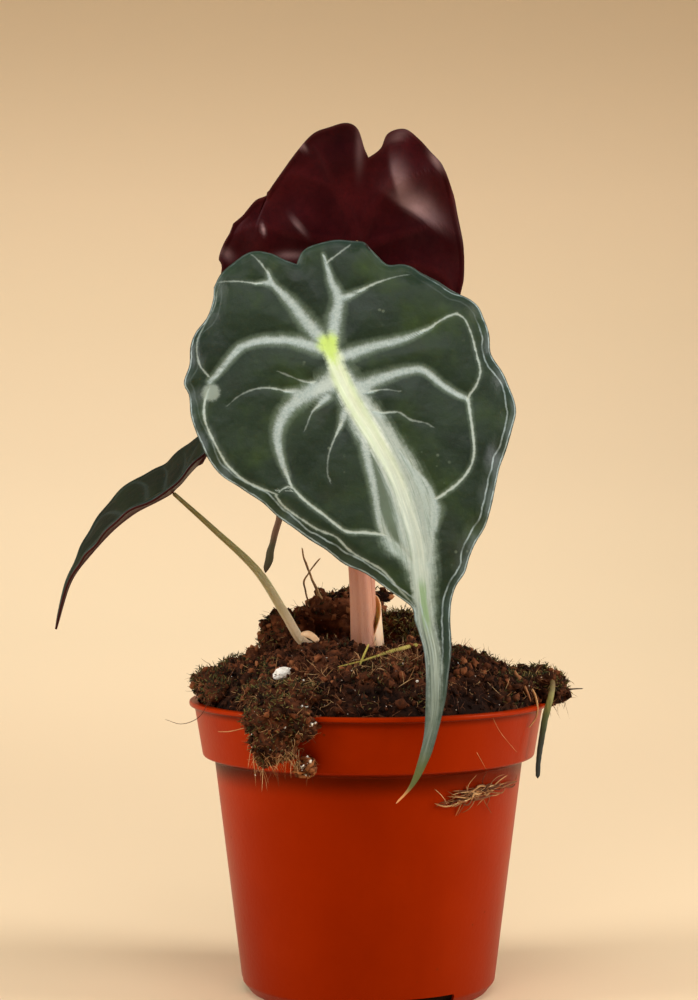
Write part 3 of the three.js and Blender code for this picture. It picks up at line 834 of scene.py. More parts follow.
looseFibres = [
    ([(-36.5, -20, 71), (-39, -22, 67), (-43, -22, 65.4), (-47, -21, 66.4)], 0.09, 0.3),
    ([(27.4, -31.8, 68.6), (29.6, -30.6, 64.4), (33.6, -27.2, 59.4)], 0.05, 0.8),
    ([(24, -33.2, 60.4), (26.4, -31.5, 56)], 0.05, 0.8),
    ([(43.6, -5.5, 71), (47.6, -6, 71.8), (50.6, -6.4, 72)], 0.2, 0.05),
    ([(34.6, -15, 76), (38.2, -16.6, 72), (38.8, -17.4, 67), (36.6, -19.2, 64)], 0.3, 0.75),
    ([(33.6, -14, 77), (36, -17, 73.4), (37.4, -17.8, 70)], 0.4, 0.6),
    ([(-27.5, -34, 66), (-31.5, -31.6, 64.8), (-34.4, -28.6, 64.4)], 0.1, 0.8),
    ([(-24, -39, 64), (-25.4, -39.6, 60), (-24.4, -39.4, 56.6)], 0.15, 0.8),
]


def wallRadius(height):
    heights = [pot["footHeight"], pot["shoulderHeight"], pot["collarBottomHeight"], pot["height"] - 1]
    radii = [pot["footRadius"], pot["shoulderRadius"], pot["collarBottomRadius"], pot["collarTopRadius"]]
    return np.interp(height, heights, radii)


def onWall(x, height, out):
    # a place at the front of the pot's wall, out mm from it
    radius = wallRadius(height) + out
    x = min(x, 0.95 * radius)
    return np.array([x, -math.sqrt(radius ** 2 - x ** 2), height])


def plainPaint(name, dark, middle, pale, gloss=0.7, size=300):
    paint = Paint(name)
    place = paint.place()
    share = paint.noise(place, size, 4, 0.65) + (paint.field("tint") - 0.5) * 0.4
    colour = paint.ramp(share, (0.25, dark), (0.5, middle), (0.75, pale))
    normal = paint.bump(paint.noise(place, size * 4, 4, 0.7), 0.00025)
    return paint.surface(Base_Color=colour, Roughness=gloss, Normal=normal, Specular_IOR_Level=0.35)


def stretchedPaint(name, stops, height, gloss=0.6):
    # colours from the bottom to the top of a piece, over its range of height in metres
    paint = Paint(name)
    place = paint.place()
    level = paint.height(place).rise(*height)
    share = level + (paint.noise(paint.place((1, 1, 0.2)), 700, 3) - 0.5) * 0.3
    lines = paint.noise(paint.place((1, 1, 0.08)), 1600, 3, 0.7)
    colour = paint.ramp(share, *zip(np.linspace(0.05, 0.95, len(stops)), stops))
    colour = paint.mix(lines.rise(0.5, 0.8, 0, 0.4), colour, (60, 50, 34))
    normal = paint.bump(lines, 0.0002)
    return paint.surface(Base_Color=colour, Roughness=gloss, Normal=normal, Specular_IOR_Level=0.35)


def makePerlite():
    white = plainPaint("expandedPerlite", (196, 186, 168), (232, 226, 210), (250, 247, 238), 0.8, 700)
    for order, (place, halves) in enumerate(zip(perlite["places"], perlite["halves"])):
        middle = (*place, moundHeight(*place) + halves[2] * 0.9)
        shoulder = (middle[0] + 0.4 * halves[0], middle[1] - 0.2, middle[2] + 0.3 * halves[2])
        grain = lumpMesh([(middle, halves), (shoulder, [0.62 * half for half in halves])], 3.2, (0.4, 0.7))
        makePiece(f"perliteGrain{order + 1}", grain, [white], "perlite", f"perlite_grain_{order + 1}")
    ground = bpy.data.objects["pottingSoil"].data
    spots = [spotsOn(ground, 130, lambda face: face.calc_center_median().z > 69 * mm)]
    for name, side, count in perlite["specks"]:
        spots.append(spotsOn(bpy.data.objects[name].data, count,
                             lambda face: face.normal.dot(Vector(side)) > 0.5))
    spots = tuple(np.vstack(column) for column in zip(*spots))
    makePiece("perliteDust", crumbs(spots, 0.1, 0.42, (0.3, 0.9), 0), [white], "perlite")


def makeStrand():
    # ribbon-like: wide across the view, thin in depth and uneven at its edges
    bm = tintedMesh()
    addTube(bm, strand["route"], strand["radii"], 12, 40, 0.5)
    middle = treeOf(Route(np.array(strand["route"]) * mm).places)
    for vert in bm.verts:
        near = middle.find(vert.co)[0]
        vert.co.y = near.y + (vert.co.y - near.y) * strand["flatness"]
    for vert in bm.verts:
        vert.co.x += 0.12 * mm * noise.noise(vert.co / (1.2 * mm))
    green = stretchedPaint("witheredBlade", [(38, 44, 42), (40, 46, 36), (52, 60, 32), (72, 78, 36),
                                             (122, 116, 56),
                                             (96, 72, 40)], (0.051, 0.079))
    makePiece("deadLeafStrand", bm, [green], "straw", "dead_leaf_strand")


def makeStraw():
    bm = tintedMesh()
    laid = [(x, y, moundHeight(x, y) + straw["lift"]) for x, y in straw["route"]]
    addTube(bm, laid, straw["radii"], 8, 30, 0.7)
    crossed = [(x, y, moundHeight(x, y) + lift) for x, y, lift in straw["cross"]]
    addTube(bm, crossed, straw["crossRadii"], 8, 16, 0.6)
    yellow = plainPaint("yellowGreenStraw", (112, 104, 36), (156, 144, 58), (190, 172, 84), 0.6, 240)
    makePiece("strawOnSoil", bm, [yellow], "straw", "straw_on_soil")


def makeTwigs():
    bark = plainPaint("thinTwig", (84, 58, 36), (148, 112, 70), (190, 156, 108), 0.8, 500)
    for name, twig in twigs.items():
        bm = tintedMesh()
        addTube(bm, twig["route"], twig["radii"], 8, 40, 0.4)
        for vert in bm.verts:
            vert.co += noise.noise_vector(vert.co / (2.2 * mm)) * 0.22 * mm
        makePiece(name, bm, [bark], "straw", twig["node"])


def makeTuft():
    # dried root fibres stuck to the wall
    bm = tintedMesh()
    x, height = tuft["middle"]
    for i in range(tuft["fibres"] + tuft["stray"]):
        stray = i >= tuft["fibres"]
        share = luck.normal(0, 0.45 if stray else 0.38)
        lean = luck.normal(0, 0.9 if stray else 0.28) + tuft["tilt"]
        length = luck.uniform(3, 6.5) if stray else luck.uniform(1.5, 6)
        start = np.array([x + share * tuft["halves"][0], height + share * tuft["tilt"] * tuft["halves"][0]
                          + luck.normal(0, 0.35) * tuft["halves"][1]])
        reach = np.array([math.cos(lean), math.sin(lean)]) * length * luck.choice([-1, 1])
        bow = luck.normal(0, 0.5, 2)
        out = luck.uniform(0.15, 1.5)
        route = [onWall(*start, out), onWall(*(start + reach / 2 + bow), out + luck.uniform(0, 0.7)),
                 onWall(*(start + reach), max(out + luck.normal(0, 0.5), 0.12))]
        radius = luck.uniform(0.08, 0.13 if stray else 0.24)
        addTube(bm, route, [radius, radius, radius * 0.6], 5, 8, luck.uniform(0.3, 0.95))
    makePiece("rootFibreTuft", bm, [fibre], "straw", "root_fibre_tuft")


def makeLooseFibres():
    bm = tintedMesh()
    for route, radius, tint in looseFibres:
        addTube(bm, route, [radius, radius, radius * 0.5], 6, 24, tint)
    makePiece("looseFibres", bm, [fibre], "straw")


makePerlite()
makeStrand()
makeStraw()
makeTwigs()
makeTuft()
makeLooseFibres()


# Stalks: the CAD routes in mm, with the finer outline of a living stalk.
frontStalk = {"route": [[-1.4, -1.2, 78.5], [-2.4, -2, 100], [-5, -3.4, 122], [-8.6, -8.6, 142],
                        [-10, -14.6, 150.6], [-10.2, -21.4, 153.3]],
              "radii": [2.85, 2.6, 2.3, 2, 1.7, 1.5, 1.4], "ridges": 7}
backStalk = {"route": [[-0.4, 3.9, 78.5], [-0.8, 3.4, 100], [-1.6, 4.6, 125], [-2.4, 9, 152],
                       [-2.7, 18.9, 179.7]],
             "radii": [2.4, 2.2, 2.1, 1.8, 1.5, 1.1], "ridges": 7}
leftStalk = {"route": [[-4.4, -1.8, 79.4], [-5.4, -2.4, 79.8], [-14.8, -5, 82.4], [-19.8, -5, 89.6],
                       [-26.4, -5, 99.8], [-36.4, -5, 109.3], [-46.3, -5, 118.2]],
             "radii": [1.15, 1.15, 1.1, 1.02, 0.8, 0.64, 0.48], "ridges": 5}


def stalkPaint(name, low, middle, high, shadow, lowHeight, highHeight):
    # colour goes from low at the soil to high at the blade, with fine lengthwise lines
    paint = Paint(name)
    place = paint.place()
    height = paint.height(place)
    share = height.rise(lowHeight, highHeight) + (paint.noise(place, 120, 3) - 0.5) * 0.25
    colour = paint.ramp(share, (0.05, low), (0.4, middle), (0.9, high))
    around = paint.field("around")
    lines = paint.noise(paint.join(around * 9, paint.field("along") * 3), 3, 3, 0.6)
    spots = paint.noise(paint.place((1, 1, 0.35)), 700, 3, 0.6).rise(0.6, 0.75)
    colour = paint.coats(colour, (lines.rise(0.5, 0.75, 0, 0.45), shadow), (spots * 0.3, shadow))
    normal = paint.bump(lines + paint.noise(place, 1800, 2) * 0.3, 0.00012)
    return paint.surface(Base_Color=colour, Roughness=0.42, Normal=normal, Specular_IOR_Level=0.5,
                         Subsurface_Weight=0.25, Subsurface_Radius=(0.003, 0.0015, 0.0008),
                         Subsurface_Scale=1.0)


def makeStalk(name, stalk, paint, slot, node):
    bm = tintedMesh()

    def ribbed(turn, v):
        return 1 + 0.035 * np.cos(stalk["ridges"] * turn + 3 * v) + 0.02 * np.cos(3 * turn)

    addTube(bm, stalk["route"], stalk["radii"], 40, 110, 0, ribbed)
    mesh = bpy.data.meshes.new(name)
    bm.to_mesh(mesh)
    bm.free()
    line = Route(np.array(stalk["route"]) * mm, 12)
    tree = treeOf(line.places)
    around, along = [], []
    for vert in mesh.vertices:
        near, i, far = tree.find(vert.co)
        away = vert.co - near
        around.append(abs(math.atan2(away.x, -away.y)))
        along.append(line.reach[i] / mm / 10)
    giveField(mesh, "around", around)
    giveField(mesh, "along", along)
    makePiece(name, mesh, [paint], slot, node)


def makeStalks():
    pink = stalkPaint("pinkStalkSkin", (186, 127, 95), (171, 99, 75), (126, 93, 54),
                      (128, 62, 60), 0.079, 0.15)
    olive = stalkPaint("oliveStalkSkin", (188, 164, 128), (160, 146, 100), (136, 130, 72),
                       (112, 96, 62), 0.08, 0.112)
    makeStalk("frontLeafStalk", frontStalk, pink, "pink_stalk", "front_leaf_stalk")
    makeStalk("backLeafStalk", backStalk, pink, "pink_stalk", "back_leaf_stalk")
    makeStalk("leftLeafStalk", leftStalk, olive, "olive_stalk", "left_leaf_stalk")


makeStalks()

# Sheath: a pale wing round part of the stalks' base, with the CAD cone's sizes in mm and degrees.
sheath = {"axis": (-0.4, 3.9), "bottom": 78.6, "height": 15.2, "bottomRadius": 4.3, "topRadius": 3.1,
          "wall": 0.5,
          "lean": -0.6, "from": -68, "to": 112, "peak": 70, "slant": 0.34}
corm = {"axis": (-0.8, 1.2), "profile": [(0, 61.6), (2.4, 62.2), (5, 65), (6.4, 69), (6.6, 72), (6, 75.6),
                                         (5.5, 78),
                                         (4.2, 79.4), (0, 79.6)],
        "rings": 9, "roots": 6, "reach": 19, "rootTop": 68, "rootEnd": 24, "stagger": 3, "twist": 0.5}


def makeSheath():
    bm = bmesh.new()
    start, end, peak = (math.radians(sheath[key]) for key in ("from", "to", "peak"))

    def place(u, v):
        turn = start + (end - start) * u
        height = sheath["height"] * (1 - sheath["slant"] + sheath["slant"] * np.cos(turn - peak)) * v
        height -= 2.2 * (np.abs(2 * u - 1) ** 3) * v
        curl = 0.55 * (2 * u - 1) ** 3 + 0.2 * v ** 6
        radius = spread([sheath["bottomRadius"], sheath["topRadius"]], v) + curl
        x, y = sheath["axis"]
        y = y + sheath["lean"] * v + radius * np.sin(turn)
        return np.stack([x + radius * np.cos(turn), y, sheath["bottom"] + height], axis=1) * mm

    addGrid(bm, 32, 26, place)
    paint = Paint("paleSheathSkin")
    spot = paint.place()
    lines = paint.noise(paint.place((1, 1, 0.06)), 1300, 3, 0.6)
    level = paint.height(spot).rise(0.079, 0.094)
    share = level + (paint.noise(spot, 220, 3) - 0.5) * 0.5
    colour = paint.ramp(share, (0.1, (246, 192, 148)), (0.6, (252, 214, 172)), (0.95, (232, 176, 136)))
    colour = paint.mix(lines.rise(0.5, 0.75, 0, 0.4), colour, (196, 136, 108))
    made = makePiece("stalkSheath", bm, [paint.surface(
        Base_Color=colour, Roughness=0.45, Normal=paint.bump(lines, 0.00015), Specular_IOR_Level=0.45,
        Subsurface_Weight=0.3, Subsurface_Radius=(0.003, 0.0018, 0.001), Subsurface_Scale=1.0)],
        "pale_sheath", "stalk_sheath")
    wall = made.modifiers.new("wall", "SOLIDIFY")
    wall.thickness = sheath["wall"] * mm
    wall.offset = 0
    soft = made.modifiers.new("rounded", "SUBSURF")
    soft.levels = soft.render_levels = 1


def makeStub():
    bm = tintedMesh()
    addTube(bm, stub["route"], stub["radii"], 16, 24, 0.5)
    cream = plainPaint("creamStub", (198, 140, 96), (228, 184, 138), (242, 212, 170), 0.5, 260)
    makePiece("stalkStub", bm, [cream], "pale_sheath")


def makeRootstock():
    # the corm under the stalks, ringed by old leaf scars, with its thick roots in the root ball
    x, y = corm["axis"]
    profile = Route(corm["profile"]).at(np.linspace(0, 1, 90))
    profile[:, 0] *= 1 + 0.035 * np.sin(corm["rings"] * math.tau * np.linspace(0, 1, 90))
    bm = turnedMesh(profile, 48)
    bm.verts.layers.float.new("tint")
    bmesh.ops.translate(bm, verts=bm.verts, vec=(x * mm, y * mm, 0))
    for i in range(corm["roots"]):
        turn = i * math.tau / corm["roots"] + 0.4 * math.sin(3 * i)
        end = corm["rootEnd"] + corm["stagger"] * i

        def onRoot(out, down):
            reach, angle = corm["reach"] * out, turn + corm["twist"] * out
            return (x + reach * math.cos(angle), y + reach * math.sin(angle),
                    corm["rootTop"] + (end - corm["rootTop"]) * down)

        route = [onRoot(0.1, 0), onRoot(0.5, 0.1), onRoot(0.9, 0.5), onRoot(1, 1)]
        addTube(bm, route, [1, 0.8, 0.45], 8, 30, 0.7)
    skin = plainPaint("cormSkin", (92, 64, 42), (150, 116, 80), (196, 168, 126), 0.8, 220)
    makePiece("rootstock", bm, [skin], "corm", "rootstock")


makeSheath()
makeStub()
makeRootstock()


# Front leaf, in mm across and down from where its stalk joins. The outlines run from the notch at the top.
frontLeaf = {
    "joint": (-10.2, -22, 152.9),
    "sinus": (-6.6, -18.4),
    "tip": (15.8, 102),
    "leftLobe": [(-9.5, -19.2), (-12.5, -21), (-15.5, -21.6), (-18.5, -20.8), (-21.5, -18.8), (-24, -16),
                 (-25.7, -13)],
    "rightLobe": [(-5.4, -20.8), (-3.2, -22.6), (0, -23.8), (4.6, -24.2), (8.7, -23.8), (10.2, -22.1),
                  (12.3, -20.1), (14.6, -18.4), (17.9, -18.4), (20.5, -17.8), (23, -16), (26, -13.9),
                  (29.2, -12)],
    "leftMargin": [(-25.9, -10), (-27, -6.3), (-29.5, -3), (-30.8, 1), (-31, 5), (-32.2, 9.3), (-31, 12),
                   (-30.4, 17), (-28.8, 21.5), (-26.4, 26.5), (-22.7, 30.8), (-18.5, 33.5), (-14, 36.5),
                   (-10.4, 39.5), (-4.4, 44), (0.7, 47.3), (4.8, 50.2), (9.8, 52.6), (14.1, 55.8), (18, 58.4),
                   (19.7, 60), (20.1, 62.6), (21.1, 65.5), (22.1, 69.3), (22.5, 73.4), (22.5, 77.6),
                   (22.3, 83.7), (22, 87.4), (21.2, 91), (20.5, 93.4), (19.7, 95.9), (18.7, 98.2),
                   (17.4, 100),
                   (16.2, 101.2)],
    "rightMargin": [(32.3, -10.8), (35.4, -8.7), (36.7, -5.8), (37.8, -1.6), (38, 2), (39.1, 4.5),
                    (41.3, 7.8),
                    (42.9, 12.2), (43.6, 15.8), (42.8, 19.3), (41.3, 24.3), (39.7, 28.4), (38.6, 33),
                    (37.7, 37),
                    (36.3, 41.5), (34.2, 45), (32.6, 48.5), (31.5, 52), (29.5, 55), (28.6, 57.5), (28.2, 60),
                    (28.1, 63.3), (28.3, 66.8), (28.2, 70), (27.7, 73.4), (27, 79), (25.9, 83.7),
                    (24.9, 87.4),
                    (23.8, 91), (22.7, 93.4), (21.4, 95.9), (19.8, 98.2), (18.1, 100), (16.6, 101.4)],
    "midrib": [(0.8, 0.6), (5, 11.2), (10.8, 20.9), (16.6, 32), (20.2, 44), (21.4, 51.2), (22.5, 61.8),
               (24.2, 70.2), (24.5, 78.4), (24, 84.6), (22.8, 89), (20.7, 95.4), (19.2, 98.3), (17.7, 100.2)],
    # half-widths of the silver band at the midrib's points and the tip
    "bandHalf": [1.7, 2.4, 2.6, 2.2, 2.4, 2.6, 2.2, 1.9, 1.7, 1.6, 1.4, 0.9, 0.7, 0.5, 0.3],
    "lean": -0.3, "arch": 0.0004, "curl": 2.5, "wave": 0.8, "quilt": 1.1,
    "grid": (168, 176), "stripeEnd": 44, "narrowFrom": 50, "shine": 1, "gleam": 0.25, "shade": 0,
}
# Broad veins: points, then half-widths from the start to the end.
frontLeaf["veins"] = [
    ([(0.4, 0.4), (-4, -4.5), (-8, -9.5), (-12.2, -13.6)], 1.6, 1.35, 1, 0.45),
    ([(-12.2, -13.6), (-14.2, -13.8), (-15.9, -13.7)], 0.75, 0.4, 0.25),
    ([(-12.2, -13.6), (-13.3, -16.7)], 0.5, 0.3),
    ([(1.6, 1), (2.3, -5), (3.2, -10), (1.5, -14), (0.8, -16.5)], 1.6, 1.4, 1.1, 0.75, 0.5),
    ([(1.2, -15.2), (0.2, -18.6), (-0.4, -20.6)], 0.6, 0.4, 0.2),
    ([(3.2, -10), (5.8, -10.8), (9.4, -12.6)], 0.9, 0.6, 0.3),
    ([(-1, 1.4), (-7.7, -0.3), (-12.8, -0.4), (-16.4, 0.1), (-19.4, 1.4), (-22, 4.2), (-24.5, 7.3),
      (-26.3, 9.1)], 1.35, 1, 0.85, 0.75, 0.5),
    ([(4, 3.4), (10.3, 1.2), (15.4, 0), (20, -1.4), (24.2, -3.4)], 1.4, 1, 0.75, 0.35),
    ([(6.5, 11), (12.8, 8.4), (16.9, 7.1), (21, 6.3), (23.5, 7.1), (26.6, 9.7), (30.1, 12), (32.6, 13)],
     1.9, 1.2, 0.85, 0.7, 0.65, 0.5),
    ([(4.2, 8.6), (1.1, 9.7), (-2.4, 11.2), (-5.9, 13.3), (-9, 16.4), (-10.5, 20), (-10.5, 23.5), (-9.7, 27),
      (-8.4, 30.6)], 2.6, 2, 1.5, 1.15, 0.8, 0.4),
    # the silver band's left branch and its right edge
    ([(7.2, 13.5), (8.6, 20), (9.7, 26.3), (11, 32.1), (12, 38), (12.5, 41.3), (13.8, 44), (17, 46.8),
      (19.6, 50)],
     0.9, 1.1, 0.9, 0.7, 0.7, 0.8),
    ([(16.8, 24.6), (19.8, 28.4), (23, 32.4), (24.2, 36), (24.2, 40), (24, 44.5), (23.5, 50)],
     0.3, 0.5, 0.8, 0.8, 0.6),
    ([(24.2, 34.6), (24.7, 38), (24.8, 42.4)], 0.6, 1.5, 0.5),
    # the roots of small side veins
    ([(3, 9.6), (-0.5, 9.4), (-3.5, 9.3)], 1, 0.6, 0.3),
    ([(-3, 12), (-7, 11.4), (-9, 11.2)], 1.1, 0.6, 0.35),
    ([(7, 12), (4.8, 16), (3.4, 19.8)], 1.3, 1, 0.35),
    ([(0.6, 12.5), (-1.9, 15.2)], 1, 0.3),
    ([(9, 14.4), (12.3, 16)], 1.4, 0.4),
    ([(8, 11.4), (11, 11.3)], 1.1, 0.35),
]
# Fine veins: points, then the same half-widths.
frontLeaf["fineVeins"] = [
    ([(-15, -13.7), (-20, -14), (-24.5, -13.8)], 0.34, 0.2, 0.06),
    ([(-13, -16), (-15, -18.6), (-17, -20.6)], 0.3, 0.2, 0.06),
    ([(8, -12), (11, -13.3), (15.4, -14.8), (19, -15.6)], 0.36, 0.2, 0.05),
    ([(22.4, -2.6), (24.2, -3.4), (27.8, -5.5), (30.3, -6.4)], 0.4, 0.3, 0.24),
    ([(-2.5, 9.3), (-5, 9.1), (-7.5, 8.2), (-10.5, 7)], 0.3, 0.15, 0.04),
    ([(-8, 11.3), (-13, 10.7), (-16.5, 11.3), (-19.6, 12.8), (-21.9, 14.8)], 0.32, 0.16, 0.04),
    ([(3.9, 18.6), (2.2, 22.5), (1, 26), (0.7, 30), (1.4, 32)], 0.4, 0.2, 0.1, 0.04),
    ([(-1.6, 14.8), (-2.9, 16.4), (-4.4, 20.4)], 0.3, 0.2, 0.04),
    ([(11.4, 15.8), (13.3, 16.3), (16.9, 16.3), (19.4, 18), (23, 18.8), (24.5, 19.8)], 0.34, 0.2, 0.15, 0.05),
    ([(10.4, 11.3), (13.9, 11), (17, 11.6)], 0.3, 0.15, 0.04),
    ([(-8.8, 29.6), (-7.4, 33)], 0.42, 0.34),
    ([(0.6, -18.8), (3.4, -20.8), (5.7, -22.7)], 0.25, 0.1),
    ([(-26.4, 8), (-28.4, 5.6), (-29.2, 3), (-29.2, 0), (-28, -3.6), (-25.6, -7.8), (-24.9, -12)], 0.22,
     0.12),
    ([(-26.5, 11), (-27.4, 14.7), (-26.9, 18.9), (-24.5, 24), (-21.9, 28.2), (-18.3, 31.5), (-14.1, 33.6),
      (-10.7, 34.8)], 0.34, 0.26),
    ([(30.3, -6.4), (32.3, -4.8), (33.9, -0.6), (35, 4), (35.5, 7), (34.6, 10), (33.1, 12), (32.6, 13)],
     0.24, 0.3),
    ([(32.6, 13), (33.1, 17), (33.6, 21.5), (33.8, 25.5), (33, 28.6), (30.5, 32), (27.4, 34.3), (25.3, 35.6)],
     0.45, 0.34, 0.34, 0.5),
    ([(-7.4, 33), (-4.4, 36.2), (-0.4, 39.2), (2.7, 41.7), (5.1, 43.2), (9.7, 43.3), (13.4, 43.6)], 0.4,
     0.34, 0.5),
    ([(-7.4, 33), (-9, 33.4), (-10.7, 34.8)], 0.26, 0.24),
    ([(-10.7, 34.8), (-10.4, 36), (-8.4, 38), (-5.4, 40.2), (-1.4, 42.7), (2.7, 44.4),
      (5.6, 47.2), (9.7, 49.7), (12.7, 51.4), (14.5, 53.2), (16.7, 55.8), (18.4, 57.5), (20.1, 59.5),
      (21.3, 64.2), (22.5, 68), (23.3, 72.2)], 0.26, 0.22, 0.2),
]
# The silver veil round the midrib, and the dark parting in it.
frontLeaf["veil"] = [
    ([(3.2, 7.5), (6.3, 12.6), (9.5, 17.9), (13.3, 24.4), (16.1, 30.8), (18.1, 37.2), (18.8, 43.6),
      (20.5, 46.7),
      (21.5, 49.9), (22.5, 56), (23.2, 62)], 2.4, 3, 3.7, 4.2, 5.6, 6.5, 5.9, 4.5, 3.4, 2.1, 1.2),
    ([(3, 6), (1.5, 9), (-1.6, 11.5)], 1.8, 1.9, 1.2),
]
frontLeaf["parting"] = [
    ([(9.4, 23), (11.4, 29.5), (13.3, 36), (15.4, 42.4), (16.8, 45.6)], 0.3, 1.2, 1.6, 1.3, 0.3),
]
frontLeaf["marginLines"] = [(0.3, 0.12), (1.9, 0.15)]
frontLeaf["scar"] = (-25.9, 11.8)

# Back leaf, seen from its underside, with the part below the front leaf's top guessed.
backLeaf = {
    "joint": (-2.7, 20, 181.2),
    "sinus": (2.8, -18.4),
    "tip": (-23.4, 84.3),
    "leftLobe": [(1.8, -20.5), (0.2, -25), (-2.5, -26.4), (-6.5, -25.5), (-10.5, -24), (-14.5, -20),
                 (-18, -15.5), (-21, -11.5), (-22, -9.6), (-25, -8.3), (-28, -5), (-30.5, -3)],
    "rightLobe": [(5.7, -20.5), (7.5, -24), (11.5, -25), (15, -22.8), (18, -19.8), (21, -16.5), (23, -11),
                  (24.3, -5)],
    "leftMargin": [(-31.5, -0.5), (-33, 2), (-34.2, 5.5), (-33.5, 7.8), (-35, 16), (-34, 24), (-31.5, 32),
                   (-29, 40), (-26, 47), (-24, 54), (-22.6, 60), (-21.2, 65.5), (-20.1, 69.8), (-21.3, 74),
                   (-21.9, 76.7), (-22.8, 78.6), (-23.3, 81), (-23.8, 83)],
    "rightMargin": [(25, -2), (26.3, 4), (26.5, 10), (26, 13), (24.5, 19), (22.8, 23), (21, 26), (16, 33),
                    (9.5, 40),
                    (2.5, 46), (-5, 51), (-11.5, 55.5), (-15.6, 60), (-17.8, 65), (-19.1, 69.8), (-20.4, 74),
                    (-21, 76.7), (-21.4, 78.6), (-21.5, 81), (-22.4, 83)],
    "midrib": [(0, 0), (-3.5, 20), (-10, 40), (-16.5, 56), (-19.6, 69.8), (-21.5, 76.7), (-22.4, 81)],
    "bandHalf": [1.6, 3, 5.2, 3.6, 1.2, 0.5, 0.5, 0.3],
    "lean": 0.3, "arch": 0, "curl": 3, "wave": 0.4, "quilt": 0.7,
    # soft folds: across, down, reach and height
    "folds": [(12, -14, 7, -2.4), (18, -6, 5, 1.2), (-24, 1, 4, -1.3), (-14, -3, 4, -1.2),
              (-3, -18, 5, -1.2)],
    "grid": (124, 132), "stripeEnd": 40, "narrowFrom": 52, "shine": 1, "gleam": 0.2, "shade": 0,
}
backLeaf["veins"] = [
    ([(0.3, 0.5), (-2.5, -6), (-6, -13), (-8.5, -19), (-12, -22.5)], 1.4, 0.3),
    ([(-5, -11), (-10, -13), (-15.5, -14.5), (-19, -13.5)], 0.8, 0.2),
    ([(1, 0.5), (3.6, -6), (8, -12), (10.5, -18), (12.5, -22.5)], 1.4, 0.3),
    ([(7, -11), (12, -14), (17, -15.5), (20, -14.5)], 0.8, 0.2),
    ([(-1, 2), (-9, 1), (-17, -0.5), (-24, -2.5), (-30, -0.5)], 1.4, 0.4),
    ([(1, 3), (7, 1), (14, -1), (20, -2.5), (24, -0.5)], 1.3, 0.4),
    ([(-2, 10), (-10, 10.5), (-18, 10), (-25, 10.5), (-30, 13), (-31, 20), (-29, 28)], 1.5, 0.4),
    ([(-1, 11), (6, 9), (13, 7.5), (19, 8.5), (23, 12), (21.5, 18), (17, 24.5)], 1.4, 0.4),
    ([(-4, 21), (-11, 23), (-19, 26), (-25, 29), (-27, 35), (-24, 43), (-21, 51)], 1.4, 0.35),
    ([(-3.6, 21), (3, 21), (9.5, 22), (14.5, 26), (10, 33), (3, 39)], 1.3, 0.35),
]
backLeaf["fineVeins"] = [
    ([(-3, 15), (-9, 16), (-15, 16.5), (-20, 18)], 0.4, 0.08),
    ([(-2, 15.5), (3, 14.5), (9, 14), (13, 15)], 0.4, 0.08),
    ([(-7, 31), (-12, 34), (-17, 38), (-20, 43)], 0.4, 0.1),
    ([(-6.5, 30), (-1, 30.5), (4, 32)], 0.4, 0.1),
    ([(-31, 20), (-27, 35), (-22.5, 50), (-20.8, 62)], 0.25, 0.2),
    ([(21.5, 18), (10, 33), (-4, 45.5), (-14, 55), (-18.5, 62)], 0.25, 0.2),
]
backLeaf["marginLines"] = [(0.35, 0.13), (1.7, 0.15)]
# Painted highlights where the underside bulges: middle, turn in degrees, reach along, to its left and to its
# right, and strength.
backLeaf["bloom"] = [
    (14.6, -5.6, 34, 5.4, 3.4, 0.8, 0.58), (9.7, -13.4, 76, 4, 2.6, 0.7, 0.4),
    (-23, -1.5, 75, 1, 0.4, 0.4, 0.8),
    (-14.3, -2.3, 50, 2.2, 0.6, 0.5, 0.32), (19.2, -17.4, 50, 2.2, 0.9, 0.7, 0.45),
    (10.2, -23.4, -20, 2.6, 1.2, 1, 0.2), (0.6, -20.5, 92, 5, 1.1, 0.9, 0.15),
    (-16.5, 5, 0, 3.2, 1, 0.8, 0.3),
    (-32.2, 4.4, 40, 1.8, 1.2, 1.2, 0.25), (-13.3, -20.9, 45, 1.3, 0.6, 0.5, 0.35),
]

# Left leaf, across and down its arching keel, which is given as seen from the front.
leftLeaf = {
    "sinus": (0, -10),
    "tip": (0, 43),
    "rightLobe": [(1.6, -12.6), (4, -14.5), (7, -15.6), (9.5, -15.5), (12, -13.6), (14, -10.5)],
    "rightMargin": [(16, -6.5), (17.3, -2), (17.6, 3), (17.2, 7), (16, 12), (14, 16), (11.4, 20), (8.5, 23.5),
                    (5.8, 26.6), (3.6, 30), (2.4, 33.4), (1.6, 37), (0.9, 40.6)],
    "midrib": [(0, 0), (0, 10), (0, 21.5), (0, 33)],
    "bandHalf": [1.1, 1.8, 2.3, 1.2, 0.25],
    "keel": [(-33.9, -5, 132.8), (-40.4, -5, 125), (-46.4, -5, 118.8), (-56.4, -5, 113.2), (-64.4, -5, 105.8),
             (-70.4, -5, 97.8), (-74.2, -5, 86)],
    "keelStart": -19, "tilt": 0.195, "fold": 0.23, "wave": 0.3, "quilt": 0.4,
    # shade lays painted shade over the whole top side, as this blade lies in shade
    "grid": (104, 112), "stripeEnd": 18, "narrowFrom": 24, "shine": 0.03, "gleam": 0.04, "shade": 0.75,
}
halfVeins = [
    ([(0.2, 0.2), (2.6, -4), (5.6, -8.6), (8, -12.6)], 0.8, 0.2),
    ([(3.2, -5), (7, -7.5), (11, -8.6)], 0.5, 0.15),
    ([(0.5, 1), (5.5, 0.2), (10.5, -1.6), (15, -1.4)], 0.8, 0.3),
    ([(0.3, 6), (5.5, 5.4), (10.5, 5.4), (14.8, 7.6), (13.6, 12)], 0.8, 0.3),
    ([(0.2, 12.5), (4.6, 13), (9, 15), (9.8, 18), (7, 22)], 0.7, 0.25),
]
